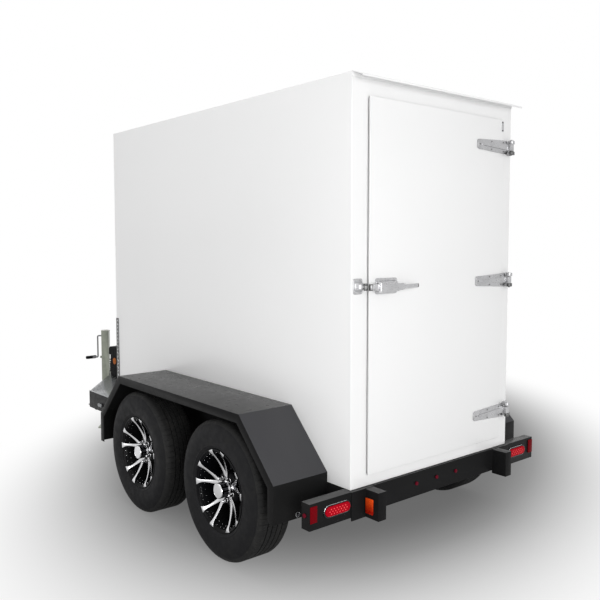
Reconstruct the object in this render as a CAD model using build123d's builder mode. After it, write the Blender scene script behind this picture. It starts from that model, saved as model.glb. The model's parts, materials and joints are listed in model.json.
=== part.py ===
from build123d import *
import math
import os

# A tandem-axle insulated box trailer, parked on its jack, with its rear door shut.
# Millimetres. +X is forward, +Y is left, +Z is up. The origin is on the ground, on the
# centreline, midway between the rear brackets and the nose of the coupler.

os.makedirs("parts", exist_ok=True)

# Box body
BOX_LENGTH = 2438.0
BOX_WIDTH = 1219.0
BOX_HEIGHT = 1915.0
BOX_BASE_Z = 465.0
PANEL = 90.0
FLOOR_DEPTH = 78.0
REAR_X = -1950.0
FRONT_X = REAR_X + BOX_LENGTH
SIDE_Y = BOX_WIDTH / 2
INNER_Y = SIDE_Y - PANEL
ROOF_Z = BOX_BASE_Z + BOX_HEIGHT

# Rear door: a slab laid over the rear frame, with a plug that fills the doorway
DOOR_RIGHT_Y = -518.0
DOOR_LEFT_Y = 512.0
DOOR_BASE_Z = BOX_BASE_Z + 57.0
DOOR_TOP_Z = BOX_BASE_Z + 1815.0
DOOR_FACE_X = REAR_X - 19.0
GASKET_FACE_X = REAR_X - 8.0
DOOR_LAP = 28.0
PLUG_GAP = 10.0
PLUG_DEPTH = 70.0
SEAL_GAP = 1.0

# Hinges and latch
HINGE_X = REAR_X - 40.0
HINGE_Y = -560.0
HINGE_HEIGHTS = (212.0, 943.0, 1668.0)
KNUCKLE_R = 12.0
HINGE_PIN_R = 5.0
PIN_FIT = 0.05
STRAP_DEPTH = 6.0
LATCH_Z = BOX_BASE_Z + 944.0

# Frame
RAIL_HEIGHT = 127.0
RAIL_WIDTH = 51.0
RAIL_BASE_Z = BOX_BASE_Z - RAIL_HEIGHT
RAIL_FRONT_X = REAR_X + 2944.0
RAIL_REAR_X = REAR_X + 45.0
TONGUE_APEX_X = REAR_X + 3737.0
TONGUE_START_Y = 598.0
BEAM_WIDTH = 76.0
BEAM_FRONT_X = REAR_X + 3790.0
COUPLER_NOSE_X = REAR_X + 4000.0
DECK_THICK = 3.0
CROSSMEMBER_STEP = 400.0

# Wheels and axles
TYRE_R = 359.0
TYRE_HALF_WIDTH = 113.0
BEAD_R = 192.0
LIP_R = 209.0
LIP_FACE = 101.0
WHEEL_Y = 817.0
WHEEL_XS = {"rear": REAR_X + 647.0, "front": REAR_X + 1524.0}
SPINDLE_R = 22.0
DRUM_R = 140.0
AXLE_TUBE = 76.0
ARM_REACH = 140.0
SPOKE_PAIRS = 5
PAIR_START = 21.4
PAIR_SPREAD = 15.0

# Fenders
FENDER_OUT_Y = 936.0
FENDER_TOP_Z = BOX_BASE_Z + 330.0
FENDER_KNEE_Z = BOX_BASE_Z + 50.0
FENDER_BASE_Z = BOX_BASE_Z - 132.0
FENDER_XS = (REAR_X + 160.0, REAR_X + 433.0, REAR_X + 1726.0, REAR_X + 2000.0)
SHEET = 3.0
FENDER_LIP = 46.0

# Light bar across the tail
BAR_REAR_X = REAR_X - 10.0
BAR_HALF = 867.0
BAR_TOP_Z = BOX_BASE_Z - 2.0
BAR_BASE_Z = BOX_BASE_Z - 125.0
LAMP_Y = 703.0
LAMP_Z = BOX_BASE_Z - 59.0
BRACKET_REAR_X = REAR_X - 100.0

# Jack on the left tongue rail
JACK_X = REAR_X + 3525.0
JACK_Y = 205.0
JACK_TUBE = 60.0
JACK_WALL = 3.0
JACK_BASE_Z = 345.0
JACK_TOP_Z = BOX_BASE_Z + 378.0
CRANK_Z = BOX_BASE_Z + 339.0
FOOT_WIDTH = 130.0
FOOT_THICK = 12.0

# Geometry of the tongue's slanted sides
TONGUE_RUN = TONGUE_APEX_X - RAIL_FRONT_X
TONGUE_ANGLE = math.degrees(math.atan2(TONGUE_START_Y, TONGUE_RUN))
TONGUE_SKEW = RAIL_WIDTH / math.cos(math.radians(TONGUE_ANGLE))
RAKE = TONGUE_RUN / TONGUE_START_Y


def save(piece, name):
    """Label a finished piece and write its file."""
    piece.part.label = name
    export_step(piece.part, f"parts/{name}.step")


def block(x_span, y_span, z_span, mode=Mode.ADD):
    """A rectangular block between two planes in each direction."""
    middle = tuple(sum(span) / 2 for span in (x_span, y_span, z_span))
    lengths = [abs(span[1] - span[0]) for span in (x_span, y_span, z_span)]
    with Locations(middle):
        Box(*lengths, mode=mode)


def mirrored(piece, name):
    """The same piece on the trailer's other side."""
    with BuildPart() as twin:
        mirror(piece.part, about=Plane.XZ)
    save(twin, name)


# ---------------------------------------------------------------- box body

with BuildPart() as box_floor:
    block((REAR_X + PANEL, FRONT_X - PANEL), (-INNER_Y, INNER_Y), (BOX_BASE_Z, BOX_BASE_Z + FLOOR_DEPTH))
save(box_floor, "box_floor")

with BuildPart() as roof:
    block((REAR_X + PANEL, FRONT_X - PANEL), (-INNER_Y, INNER_Y), (ROOF_Z - PANEL, ROOF_Z))
save(roof, "roof")

with BuildPart() as wall_left:
    block((REAR_X + PANEL, FRONT_X - PANEL), (INNER_Y, SIDE_Y), (BOX_BASE_Z, ROOF_Z))
save(wall_left, "wall_left")
mirrored(wall_left, "wall_right")

with BuildPart() as wall_front:
    block((FRONT_X - PANEL, FRONT_X), (-SIDE_Y, SIDE_Y), (BOX_BASE_Z, ROOF_Z))
save(wall_front, "wall_front")

OPENING_YS = (DOOR_RIGHT_Y + DOOR_LAP, DOOR_LEFT_Y - DOOR_LAP)
OPENING_ZS = (DOOR_BASE_Z + DOOR_LAP, DOOR_TOP_Z - DOOR_LAP)

with BuildPart() as rear_frame:
    block((REAR_X, REAR_X + PANEL), (-SIDE_Y, SIDE_Y), (BOX_BASE_Z, ROOF_Z))
    block((REAR_X, REAR_X + PANEL), OPENING_YS, OPENING_ZS, mode=Mode.SUBTRACT)
save(rear_frame, "rear_frame")

# Folded sheet over the door, falling a little towards its edge
LIP_REACH = 70.0
LIP_FALL = 25.0
LIP_HEM = 8.0
with BuildPart() as drip_lip:
    with BuildSketch(Plane.XZ.offset(-SIDE_Y)):
        with BuildLine():
            Polyline(
                (REAR_X, ROOF_Z),
                (REAR_X - LIP_REACH, ROOF_Z - LIP_FALL),
                (REAR_X - LIP_REACH, ROOF_Z - LIP_FALL - LIP_HEM),
                (REAR_X - LIP_REACH + SHEET, ROOF_Z - LIP_FALL - LIP_HEM),
                (REAR_X - LIP_REACH + SHEET, ROOF_Z - LIP_FALL - SHEET),
                (REAR_X - SHEET, ROOF_Z - SHEET * 1.3),
                (REAR_X - SHEET, ROOF_Z - 3 * LIP_HEM),
                (REAR_X, ROOF_Z - 3 * LIP_HEM),
                close=True,
            )
        make_face()
    extrude(amount=BOX_WIDTH)
save(drip_lip, "drip_lip")

# Bright sheet that wraps the foot of the front wall
GUARD_HEIGHT = 610.0
GUARD_RETURN = 40.0
GUARD_SHEET = 2.0
with BuildPart() as stone_guard:
    block(
        (FRONT_X - GUARD_RETURN, FRONT_X + GUARD_SHEET),
        (-SIDE_Y - GUARD_SHEET, SIDE_Y + GUARD_SHEET),
        (BOX_BASE_Z + DECK_THICK, BOX_BASE_Z + GUARD_HEIGHT),
    )
    block(
        (FRONT_X - GUARD_RETURN, FRONT_X),
        (-SIDE_Y, SIDE_Y),
        (BOX_BASE_Z + DECK_THICK, BOX_BASE_Z + GUARD_HEIGHT),
        mode=Mode.SUBTRACT,
    )
save(stone_guard, "stone_guard")

# Cooling unit high on the front wall, with a louvred grille on its face
UNIT_DEPTH = 400.0
UNIT_HALF = 380.0
UNIT_ZS = (BOX_BASE_Z + 1150.0, BOX_BASE_Z + 1750.0)
UNIT_FACE_X = FRONT_X + UNIT_DEPTH
with BuildPart() as cooling_unit:
    block((FRONT_X, UNIT_FACE_X), (-UNIT_HALF, UNIT_HALF), UNIT_ZS)
    fillet(cooling_unit.edges().filter_by(Axis.X), radius=25.0)
save(cooling_unit, "cooling_unit")

GRILLE_DEPTH = 14.0
GRILLE_BORDER = 22.0
GRILLE_SLATS = 11
GRILLE_YS = (-300.0, 300.0)
GRILLE_ZS = (UNIT_ZS[0] + 70.0, UNIT_ZS[1] - 70.0)
with BuildPart() as cooling_grille:
    block((UNIT_FACE_X, UNIT_FACE_X + GRILLE_DEPTH), GRILLE_YS, GRILLE_ZS)
    block(
        (UNIT_FACE_X, UNIT_FACE_X + GRILLE_DEPTH),
        (GRILLE_YS[0] + GRILLE_BORDER, GRILLE_YS[1] - GRILLE_BORDER),
        (GRILLE_ZS[0] + GRILLE_BORDER, GRILLE_ZS[1] - GRILLE_BORDER),
        mode=Mode.SUBTRACT,
    )
    slat_step = (GRILLE_ZS[1] - GRILLE_ZS[0] - 2 * GRILLE_BORDER) / (GRILLE_SLATS + 1)
    for index in range(GRILLE_SLATS):
        slat_z = GRILLE_ZS[0] + GRILLE_BORDER + slat_step * (index + 1)
        block((UNIT_FACE_X, UNIT_FACE_X + GRILLE_DEPTH), GRILLE_YS, (slat_z - 9.0, slat_z + 9.0))
save(cooling_grille, "cooling_grille")

# ---------------------------------------------------------------- rear door

PLUG_YS = (OPENING_YS[0] + PLUG_GAP, OPENING_YS[1] - PLUG_GAP)
PLUG_ZS = (OPENING_ZS[0] + PLUG_GAP, OPENING_ZS[1] - PLUG_GAP)

with BuildPart() as door_panel:
    block((DOOR_FACE_X, GASKET_FACE_X), (DOOR_RIGHT_Y, DOOR_LEFT_Y), (DOOR_BASE_Z, DOOR_TOP_Z))
    block((GASKET_FACE_X, REAR_X + PLUG_DEPTH), PLUG_YS, PLUG_ZS)
save(door_panel, "door_panel")

SEAL_INSET = 5.0
with BuildPart() as door_gasket:
    block(
        (GASKET_FACE_X, REAR_X - SEAL_GAP),
        (DOOR_RIGHT_Y + SEAL_INSET, DOOR_LEFT_Y - SEAL_INSET),
        (DOOR_BASE_Z + SEAL_INSET, DOOR_TOP_Z - SEAL_INSET),
    )
    block((GASKET_FACE_X, REAR_X - SEAL_GAP), PLUG_YS, PLUG_ZS, mode=Mode.SUBTRACT)
save(door_gasket, "door_gasket")

# Three strap hinges: a tapering strap on the door turns between two fixed ears
STRAP_FREE_Y = -280.0
STRAP_ROOT_Y = HINGE_Y + 20.0
STRAP_FREE_HALF = 25.5
STRAP_ROOT_HALF = 38.0
EAR_HALF = 38.0
EAR_INNER = 20.0
MOVING_HALF = 18.0

with BuildPart() as hinge_straps:
    for height in HINGE_HEIGHTS:
        z = BOX_BASE_Z + height
        with BuildSketch(Plane.YZ.offset(DOOR_FACE_X - STRAP_DEPTH)):
            with BuildLine():
                Polyline(
                    (STRAP_FREE_Y, z - STRAP_FREE_HALF * 0.7),
                    (STRAP_FREE_Y - 10.0, z - STRAP_FREE_HALF),
                    (STRAP_ROOT_Y, z - STRAP_ROOT_HALF),
                    (STRAP_ROOT_Y, z + STRAP_ROOT_HALF),
                    (STRAP_FREE_Y - 10.0, z + STRAP_FREE_HALF),
                    (STRAP_FREE_Y, z + STRAP_FREE_HALF * 0.7),
                    close=True,
                )
            make_face()
        extrude(amount=STRAP_DEPTH)
        with BuildSketch(Plane.YZ.offset(DOOR_FACE_X - 2 * STRAP_DEPTH)):
            with BuildLine():
                Polyline(
                    (STRAP_FREE_Y - 40.0, z - 5.0),
                    (STRAP_ROOT_Y, z - 15.0),
                    (STRAP_ROOT_Y, z + 15.0),
                    (STRAP_FREE_Y - 40.0, z + 5.0),
                    close=True,
                )
            make_face()
        extrude(amount=STRAP_DEPTH)
        block((HINGE_X - 10.0, DOOR_FACE_X), (HINGE_Y, STRAP_ROOT_Y), (z - MOVING_HALF, z + MOVING_HALF))
        with Locations((HINGE_X, HINGE_Y, z)):
            Cylinder(KNUCKLE_R, 2 * MOVING_HALF)
            Cylinder(HINGE_PIN_R + PIN_FIT, 2 * MOVING_HALF, mode=Mode.SUBTRACT)
save(hinge_straps, "hinge_straps")

with BuildPart() as hinge_flanges:
    for height in HINGE_HEIGHTS:
        z = BOX_BASE_Z + height
        block((REAR_X - 8.0, REAR_X), (-SIDE_Y, HINGE_Y - KNUCKLE_R), (z - EAR_HALF, z + EAR_HALF))
        for low, high in ((z - EAR_HALF, z - EAR_INNER), (z + EAR_INNER, z + EAR_HALF)):
            block((HINGE_X, REAR_X), (HINGE_Y - 30.0, HINGE_Y - KNUCKLE_R + 4.0), (low, high))
            with Locations((HINGE_X, HINGE_Y, (low + high) / 2)):
                Cylinder(KNUCKLE_R, high - low)
        with Locations((HINGE_X, HINGE_Y, z)):
            Cylinder(HINGE_PIN_R, 2 * EAR_HALF + 8.0)
save(hinge_flanges, "hinge_flanges")

with BuildPart() as latch_body:
    block((DOOR_FACE_X - 38.0, DOOR_FACE_X), (325.0, 462.0), (LATCH_Z - 36.0, LATCH_Z + 36.0))
    fillet(latch_body.edges().filter_by(Axis.X), radius=14.0)
    block((DOOR_FACE_X - 30.0, DOOR_FACE_X - 14.0), (440.0, 532.0), (LATCH_Z - 14.0, LATCH_Z + 14.0))
save(latch_body, "latch_body")

with BuildPart() as latch_handle:
    with BuildSketch(Plane.YZ.offset(DOOR_FACE_X - 52.0)):
        with BuildLine():
            Polyline(
                (171.0, LATCH_Z - 12.0),
                (255.0, LATCH_Z - 15.0),
                (310.0, LATCH_Z - 26.0),
                (420.0, LATCH_Z - 24.0),
                (435.0, LATCH_Z),
                (420.0, LATCH_Z + 22.0),
                (310.0, LATCH_Z + 20.0),
                (255.0, LATCH_Z + 7.0),
                (171.0, LATCH_Z + 2.0),
                close=True,
            )
        make_face()
    extrude(amount=14.0)
save(latch_handle, "latch_handle")

with BuildPart() as latch_strike:
    block((REAR_X - 48.0, REAR_X), (544.0, 599.0), (LATCH_Z - 33.0, LATCH_Z + 40.0))
    fillet(latch_strike.edges().filter_by(Axis.X), radius=8.0)
save(latch_strike, "latch_strike")

# ---------------------------------------------------------------- frame

with BuildPart() as frame_rails:
    for side in (-1, 1):
        block(
            (RAIL_REAR_X, RAIL_FRONT_X),
            (side * (SIDE_Y - RAIL_WIDTH), side * SIDE_Y),
            (RAIL_BASE_Z, BOX_BASE_Z),
        )
save(frame_rails, "frame_rails")

CROSS_WIDTH = 38.0
CROSS_DEPTH = 76.0
RAIL_INNER_Y = SIDE_Y - RAIL_WIDTH
with BuildPart() as crossmembers:
    for index in range(1, 7):
        cross_x = REAR_X + index * CROSSMEMBER_STEP
        block(
            (cross_x, cross_x + CROSS_WIDTH),
            (-RAIL_INNER_Y, RAIL_INNER_Y),
            (BOX_BASE_Z - CROSS_DEPTH, BOX_BASE_Z),
        )
    block((RAIL_FRONT_X - RAIL_WIDTH, RAIL_FRONT_X), (-RAIL_INNER_Y, RAIL_INNER_Y), (RAIL_BASE_Z, BOX_BASE_Z))
save(crossmembers, "crossmembers")

with BuildPart() as tongue_rails:
    for side in (-1, 1):
        with BuildSketch(Plane.XY.offset(RAIL_BASE_Z)):
            with BuildLine():
                Polyline(
                    (RAIL_FRONT_X, side * TONGUE_START_Y),
                    (TONGUE_APEX_X - BEAM_WIDTH / 2 * RAKE, side * BEAM_WIDTH / 2),
                    (TONGUE_APEX_X - (BEAM_WIDTH / 2 + TONGUE_SKEW) * RAKE, side * BEAM_WIDTH / 2),
                    (RAIL_FRONT_X, side * (TONGUE_START_Y - TONGUE_SKEW)),
                    close=True,
                )
            make_face()
        extrude(amount=RAIL_HEIGHT)
save(tongue_rails, "tongue_rails")

with BuildPart() as tongue_beam:
    block((RAIL_FRONT_X, BEAM_FRONT_X), (-BEAM_WIDTH / 2, BEAM_WIDTH / 2), (RAIL_BASE_Z, BOX_BASE_Z))
save(tongue_beam, "tongue_beam")

# Coupler: two cheeks on the beam, a rounded head and a socket that opens downwards
SOCKET_R = 25.8
SOCKET_DEPTH = 42.0
HEAD_HALF = 46.0
CHEEK = 6.0
CHEEK_REACH = 95.0
HEAD_ZS = (BOX_BASE_Z - 62.0, BOX_BASE_Z + 6.0)
SOCKET_X = COUPLER_NOSE_X - HEAD_HALF
with BuildPart() as coupler:
    block((BEAM_FRONT_X, SOCKET_X), (-BEAM_WIDTH / 2 - CHEEK, BEAM_WIDTH / 2 + CHEEK), HEAD_ZS)
    with Locations((SOCKET_X, 0, sum(HEAD_ZS) / 2)):
        Cylinder(HEAD_HALF, HEAD_ZS[1] - HEAD_ZS[0])
    for side in (-1, 1):
        block(
            (BEAM_FRONT_X - CHEEK_REACH, BEAM_FRONT_X),
            (side * BEAM_WIDTH / 2, side * (BEAM_WIDTH / 2 + CHEEK)),
            (RAIL_BASE_Z + 30.0, HEAD_ZS[1]),
        )
    block((BEAM_FRONT_X + 20.0, BEAM_FRONT_X + 120.0), (-9.0, 9.0), (HEAD_ZS[1], HEAD_ZS[1] + 26.0))
    with Locations((SOCKET_X, 0, HEAD_ZS[0] + SOCKET_DEPTH / 2)):
        Cylinder(SOCKET_R, SOCKET_DEPTH, mode=Mode.SUBTRACT)
save(coupler, "coupler")

with BuildPart() as deck_plate:
    with BuildSketch(Plane.XY.offset(BOX_BASE_Z)):
        with BuildLine():
            Polyline(
                (FRONT_X, SIDE_Y),
                (RAIL_FRONT_X, SIDE_Y),
                (RAIL_FRONT_X, TONGUE_START_Y),
                (TONGUE_APEX_X - BEAM_WIDTH / 2 * RAKE, BEAM_WIDTH / 2),
                (TONGUE_APEX_X - BEAM_WIDTH / 2 * RAKE, -BEAM_WIDTH / 2),
                (RAIL_FRONT_X, -TONGUE_START_Y),
                (RAIL_FRONT_X, -SIDE_Y),
                (FRONT_X, -SIDE_Y),
                close=True,
            )
        make_face()
    extrude(amount=DECK_THICK)
save(deck_plate, "deck_plate")

# Battery box on the deck, with an overhanging lid
BATTERY_XS = (REAR_X + 3310.0, REAR_X + 3466.0)
BATTERY_HALF = 195.0
BATTERY_TOP_Z = BOX_BASE_Z + 253.0
BATTERY_LID = 72.0
LID_OVERHANG = 8.0
LID_REAR_CROWN = 60.0
LID_FRONT_CROWN = 30.0
with BuildPart() as battery_box:
    block(BATTERY_XS, (-BATTERY_HALF, BATTERY_HALF), (BOX_BASE_Z + DECK_THICK, BATTERY_TOP_Z - BATTERY_LID))
    fillet(battery_box.edges().filter_by(Axis.Z), radius=16.0)
save(battery_box, "battery_box")

with BuildPart() as battery_lid:
    block(
        (BATTERY_XS[0] - LID_OVERHANG, BATTERY_XS[1] + LID_OVERHANG),
        (-BATTERY_HALF - LID_OVERHANG, BATTERY_HALF + LID_OVERHANG),
        (BATTERY_TOP_Z - BATTERY_LID, BATTERY_TOP_Z),
    )
    for end, crown in ((0, LID_REAR_CROWN), (-1, LID_FRONT_CROWN)):
        top_edges = battery_lid.faces().sort_by(Axis.Z)[-1].edges().filter_by(Axis.Y)
        fillet(top_edges.sort_by(Axis.X)[end], radius=crown)
    for end in (0, -1):
        outline = battery_lid.faces().filter_by(Axis.Y).sort_by(Axis.Y)[end].edges()
        fillet(outline.sort_by(Axis.Z)[1:], radius=10.0)
save(battery_lid, "battery_lid")

# ---------------------------------------------------------------- fenders


def fender_outline(inset):
    """Side outline of a fender, drawn in by inset all round and open at the bottom."""
    low = FENDER_BASE_Z - inset
    with BuildSketch() as outline:
        with BuildLine():
            Polyline(
                (FENDER_XS[0], low),
                (FENDER_XS[0], FENDER_KNEE_Z),
                (FENDER_XS[1], FENDER_TOP_Z),
                (FENDER_XS[2], FENDER_TOP_Z),
                (FENDER_XS[3], FENDER_KNEE_Z),
                (FENDER_XS[3], low),
                close=True,
            )
        make_face()
        if inset:
            offset(amount=-inset, kind=Kind.INTERSECTION)
    return outline.sketch


def fender_solid(inset, y_span):
    """The outline carried across the fender from one y to another."""
    outline = Plane.XZ.offset(-y_span[1]) * fender_outline(inset)
    return extrude(outline, amount=y_span[1] - y_span[0])


with BuildPart() as fender_left:
    add(fender_solid(0, (SIDE_Y, FENDER_OUT_Y)))
    add(fender_solid(SHEET, (SIDE_Y + SHEET, FENDER_OUT_Y - SHEET)), mode=Mode.SUBTRACT)
    add(fender_solid(FENDER_LIP, (SIDE_Y + SHEET, FENDER_OUT_Y)), mode=Mode.SUBTRACT)
    block(
        (FENDER_XS[0] + SHEET, FENDER_XS[3] - SHEET),
        (SIDE_Y, SIDE_Y + SHEET),
        (FENDER_BASE_Z, BOX_BASE_Z),
        mode=Mode.SUBTRACT,
    )
save(fender_left, "fender_left")
mirrored(fender_left, "fender_right")

# ---------------------------------------------------------------- light bar and lamps

REFLECTOR_YS = (824.0, 864.0)
REFLECTOR_ZS = (BOX_BASE_Z - 91.0, BOX_BASE_Z - 15.0)
MARKER_YS = (163.0, 8.0, -147.0)
BRACKET_YS = (473.0, 525.0)
BRACKET_PLATE_YS = (473.0, 616.0)
BRACKET_ZS = (BOX_BASE_Z - 140.0, BOX_BASE_Z - 5.0)
LENS_LENGTH = 152.0
LENS_HEIGHT = 46.0
BEZEL_EDGE = 7.0

with BuildPart() as light_bar:
    block((BAR_REAR_X, RAIL_REAR_X), (-BAR_HALF, BAR_HALF), (BAR_BASE_Z, BAR_TOP_Z))
    block((REAR_X, RAIL_REAR_X), (-BAR_HALF, BAR_HALF), (BAR_TOP_Z, BOX_BASE_Z + 1.0), mode=Mode.SUBTRACT)
    for side in (-1, 1):
        block(
            (BAR_REAR_X - 6.0, BAR_REAR_X),
            [side * y for y in BRACKET_PLATE_YS],
            (BRACKET_ZS[0], BAR_TOP_Z),
        )
        block((BRACKET_REAR_X, BAR_REAR_X), [side * y for y in BRACKET_YS], BRACKET_ZS)
save(light_bar, "light_bar")

with BuildPart() as tail_lenses:
    for side in (-1, 1):
        with BuildSketch(Plane.YZ.offset(BAR_REAR_X - 12.0)):
            with Locations((side * LAMP_Y, LAMP_Z)):
                SlotOverall(LENS_LENGTH, LENS_HEIGHT)
        extrude(amount=12.0)
save(tail_lenses, "tail_lenses")

with BuildPart() as lamp_bezels:
    for side in (-1, 1):
        with BuildSketch(Plane.YZ.offset(BAR_REAR_X - 7.0)):
            with Locations((side * LAMP_Y, LAMP_Z)):
                SlotOverall(LENS_LENGTH + 2 * BEZEL_EDGE, LENS_HEIGHT + 2 * BEZEL_EDGE)
                SlotOverall(LENS_LENGTH + 1.0, LENS_HEIGHT + 1.0, mode=Mode.SUBTRACT)
        extrude(amount=7.0)
save(lamp_bezels, "lamp_bezels")

with BuildPart() as red_markers:
    for side in (-1, 1):
        block((BAR_REAR_X - 5.0, BAR_REAR_X), [side * y for y in REFLECTOR_YS], REFLECTOR_ZS)
        block(
            (REAR_X - 68.0, REAR_X - 22.0),
            (side * BRACKET_YS[1], side * (BRACKET_YS[1] + 9.0)),
            (BOX_BASE_Z - 117.0, BOX_BASE_Z - 44.0),
        )
        with BuildSketch(Plane.XZ.offset(-side * BAR_HALF)):
            with Locations((REAR_X + 20.0, LAMP_Z)):
                Circle(10.0)
        extrude(amount=-side * 8.0)
    for marker_y in MARKER_YS:
        with BuildSketch(Plane.YZ.offset(BAR_REAR_X - 8.0)):
            with Locations((marker_y, LAMP_Z)):
                Circle(10.0)
        extrude(amount=8.0)
save(red_markers, "red_markers")

with BuildPart() as side_markers:
    for side in (-1, 1):
        with BuildSketch(Plane.XZ.offset(-side * SIDE_Y)):
            with Locations((REAR_X + 2737.0, BOX_BASE_Z - 79.0)):
                SlotOverall(64.0, 26.0)
        extrude(amount=-side * 12.0)
save(side_markers, "side_markers")

# ---------------------------------------------------------------- axles and wheels

AXLE_BOTTOM_Z = RAIL_BASE_Z - AXLE_TUBE
ARM_YS = (SIDE_Y + 16.0, SIDE_Y + 42.0)
PLATE_YS = (WHEEL_Y - 96.0, WHEEL_Y - 90.0)
ARM_HALF = 30.0
TUBE_CENTRE_Z = AXLE_BOTTOM_Z + AXLE_TUBE / 2
ARM_LENGTH = math.hypot(ARM_REACH, TYRE_R - TUBE_CENTRE_Z)
ARM_SLOPE = math.degrees(math.atan2(TUBE_CENTRE_Z - TYRE_R, ARM_REACH))

with BuildPart() as axle_beams:
    for wheel_x in WHEEL_XS.values():
        block(
            (wheel_x + ARM_REACH - AXLE_TUBE / 2, wheel_x + ARM_REACH + AXLE_TUBE / 2),
            (-ARM_YS[0], ARM_YS[0]),
            (AXLE_BOTTOM_Z, RAIL_BASE_Z),
        )
save(axle_beams, "axle_beams")

with BuildPart() as torsion_arms:
    for wheel_x in WHEEL_XS.values():
        for side in (-1, 1):
            with BuildSketch(Plane.XZ.offset(-side * ARM_YS[0])):
                with Locations((wheel_x + ARM_REACH / 2, (TYRE_R + TUBE_CENTRE_Z) / 2)):
                    SlotCenterToCenter(ARM_LENGTH, 2 * ARM_HALF, rotation=ARM_SLOPE)
            extrude(amount=-side * (ARM_YS[1] - ARM_YS[0]))
            with Locations(Plane((wheel_x, side * (ARM_YS[1] + PLATE_YS[1]) / 2, TYRE_R), z_dir=(0, side, 0))):
                Cylinder(SPINDLE_R + 8.0, PLATE_YS[1] - ARM_YS[1])
            with Locations(Plane((wheel_x, side * sum(PLATE_YS) / 2, TYRE_R), z_dir=(0, side, 0))):
                Cylinder(DRUM_R + 4.0, PLATE_YS[1] - PLATE_YS[0])
            with Locations(Plane((wheel_x, side * (PLATE_YS[1] + WHEEL_Y + 18.0) / 2, TYRE_R), z_dir=(0, side, 0))):
                Cylinder(SPINDLE_R, WHEEL_Y + 18.0 - PLATE_YS[1])
save(torsion_arms, "torsion_arms")

# Wheel masters stand on their own axis: Z is the axle's direction, outwards
# Sixty flats stand for the round of the tyre, and one of them lies on the ground
TYRE_SIDES = 60
BEAD = (BEAD_R, 93.5)
BULGE = (TYRE_R - 94.0, TYRE_HALF_WIDTH)
SHOULDER = (
    (TYRE_R - 62.0, TYRE_HALF_WIDTH),
    (TYRE_R - 30.0, 104.0),
    (TYRE_R - 9.0, 91.0),
    (TYRE_R, 75.0),
)
tyre_rings = [(radius, -out) for radius, out in SHOULDER] + list(reversed(SHOULDER))


def flat_sided_step(ring, next_ring, mode=Mode.ADD):
    radius, out = ring
    next_radius, next_out = next_ring
    rise = next_out - out
    with BuildSketch(Plane.XY.offset(out)) as foot:
        RegularPolygon(radius, TYRE_SIDES, major_radius=False, rotation=180.0 / TYRE_SIDES)
    lean = math.degrees(math.atan2(radius - next_radius, rise))
    extrude(foot.sketch, amount=rise, taper=lean, mode=mode)


with BuildPart() as tyre_master:
    for ring, next_ring in zip(tyre_rings, tyre_rings[1:]):
        flat_sided_step(ring, next_ring)
    flat_sided_step((BULGE[0], -BULGE[1]), (BEAD[0], -BEAD[1]), mode=Mode.SUBTRACT)
    flat_sided_step((BEAD[0], -BEAD[1]), BEAD, mode=Mode.SUBTRACT)
    flat_sided_step(BEAD, BULGE, mode=Mode.SUBTRACT)

# The rim's lips lean outwards with the foot of the sidewall
SEAT_R = BEAD_R - 0.5
LIP_LEAN = (BULGE[1] - BEAD[1]) / (BULGE[0] - BEAD[0]) * (LIP_R - SEAT_R)
LIP_INNER = BEAD[1] + 0.5
WELL_R = BEAD_R - 22.0
RIM_WALL = 7.0
with BuildPart() as rim_master:
    with BuildSketch(Plane.XZ):
        with BuildLine():
            Polyline(
                (SEAT_R - RIM_WALL, -LIP_FACE),
                (LIP_R, -LIP_FACE),
                (LIP_R, -LIP_INNER - LIP_LEAN),
                (SEAT_R, -LIP_INNER),
                (SEAT_R, -60.0),
                (WELL_R, -40.0),
                (WELL_R, 20.0),
                (SEAT_R, 45.0),
                (SEAT_R, LIP_INNER),
                (LIP_R, LIP_INNER + LIP_LEAN),
                (LIP_R, LIP_FACE),
                (SEAT_R - RIM_WALL, LIP_FACE - RIM_WALL),
                (SEAT_R - RIM_WALL, 45.0),
                (WELL_R - RIM_WALL, 20.0),
                (WELL_R - RIM_WALL, -40.0),
                (SEAT_R - RIM_WALL, -60.0),
                close=True,
            )
        make_face()
    revolve(axis=Axis.Z)
    with BuildSketch(Plane.XZ):
        with BuildLine():
            Polyline(
                (46.0, 6.0),
                (84.0, 6.0),
                (BEAD_R - 4.0, 56.0),
                (BEAD_R - 4.0, 86.0),
                (84.0, 48.0),
                (46.0, 48.0),
                close=True,
            )
        make_face()
    revolve(axis=Axis.Z)
    for pair in range(SPOKE_PAIRS):
        middle = PAIR_START + pair * 360.0 / SPOKE_PAIRS
        for turn, spread in ((0.0, PAIR_SPREAD), (180.0 / SPOKE_PAIRS, 180.0 / SPOKE_PAIRS - PAIR_SPREAD)):
            inner_r = 112.0 if turn == 0.0 else 88.0
            inner_spread = 3.0 if turn == 0.0 else 15.0
            outer_spread = spread - 4.0
            with BuildSketch(Plane.XY):
                with BuildLine():
                    window = [
                        (radius * math.cos(math.radians(middle + turn + angle)),
                         radius * math.sin(math.radians(middle + turn + angle)))
                        for radius, angle in (
                            (inner_r, -inner_spread),
                            (BEAD_R - 9.0, -outer_spread),
                            (BEAD_R - 9.0, outer_spread),
                            (inner_r, inner_spread),
                        )
                    ]
                    Polyline(*window, close=True)
                make_face()
            extrude(amount=LIP_FACE, mode=Mode.SUBTRACT)

HUB_R = 38.0
CAP_R = 40.0
with BuildPart() as hub_master:
    with BuildSketch(Plane.XZ):
        with BuildLine():
            Polyline(
                (SPINDLE_R + PIN_FIT, -86.0),
                (DRUM_R, -86.0),
                (DRUM_R, -10.0),
                (90.0, -10.0),
                (90.0, 5.5),
                (HUB_R, 5.5),
                (HUB_R, 52.0),
                (CAP_R, 52.0),
                (CAP_R, LIP_FACE - 2.0),
                (CAP_R - 4.0, LIP_FACE + 3.0),
                (0.0, LIP_FACE + 3.0),
                (0.0, 24.0),
                (SPINDLE_R + PIN_FIT, 24.0),
                close=True,
            )
        make_face()
    revolve(axis=Axis.Z)

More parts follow.
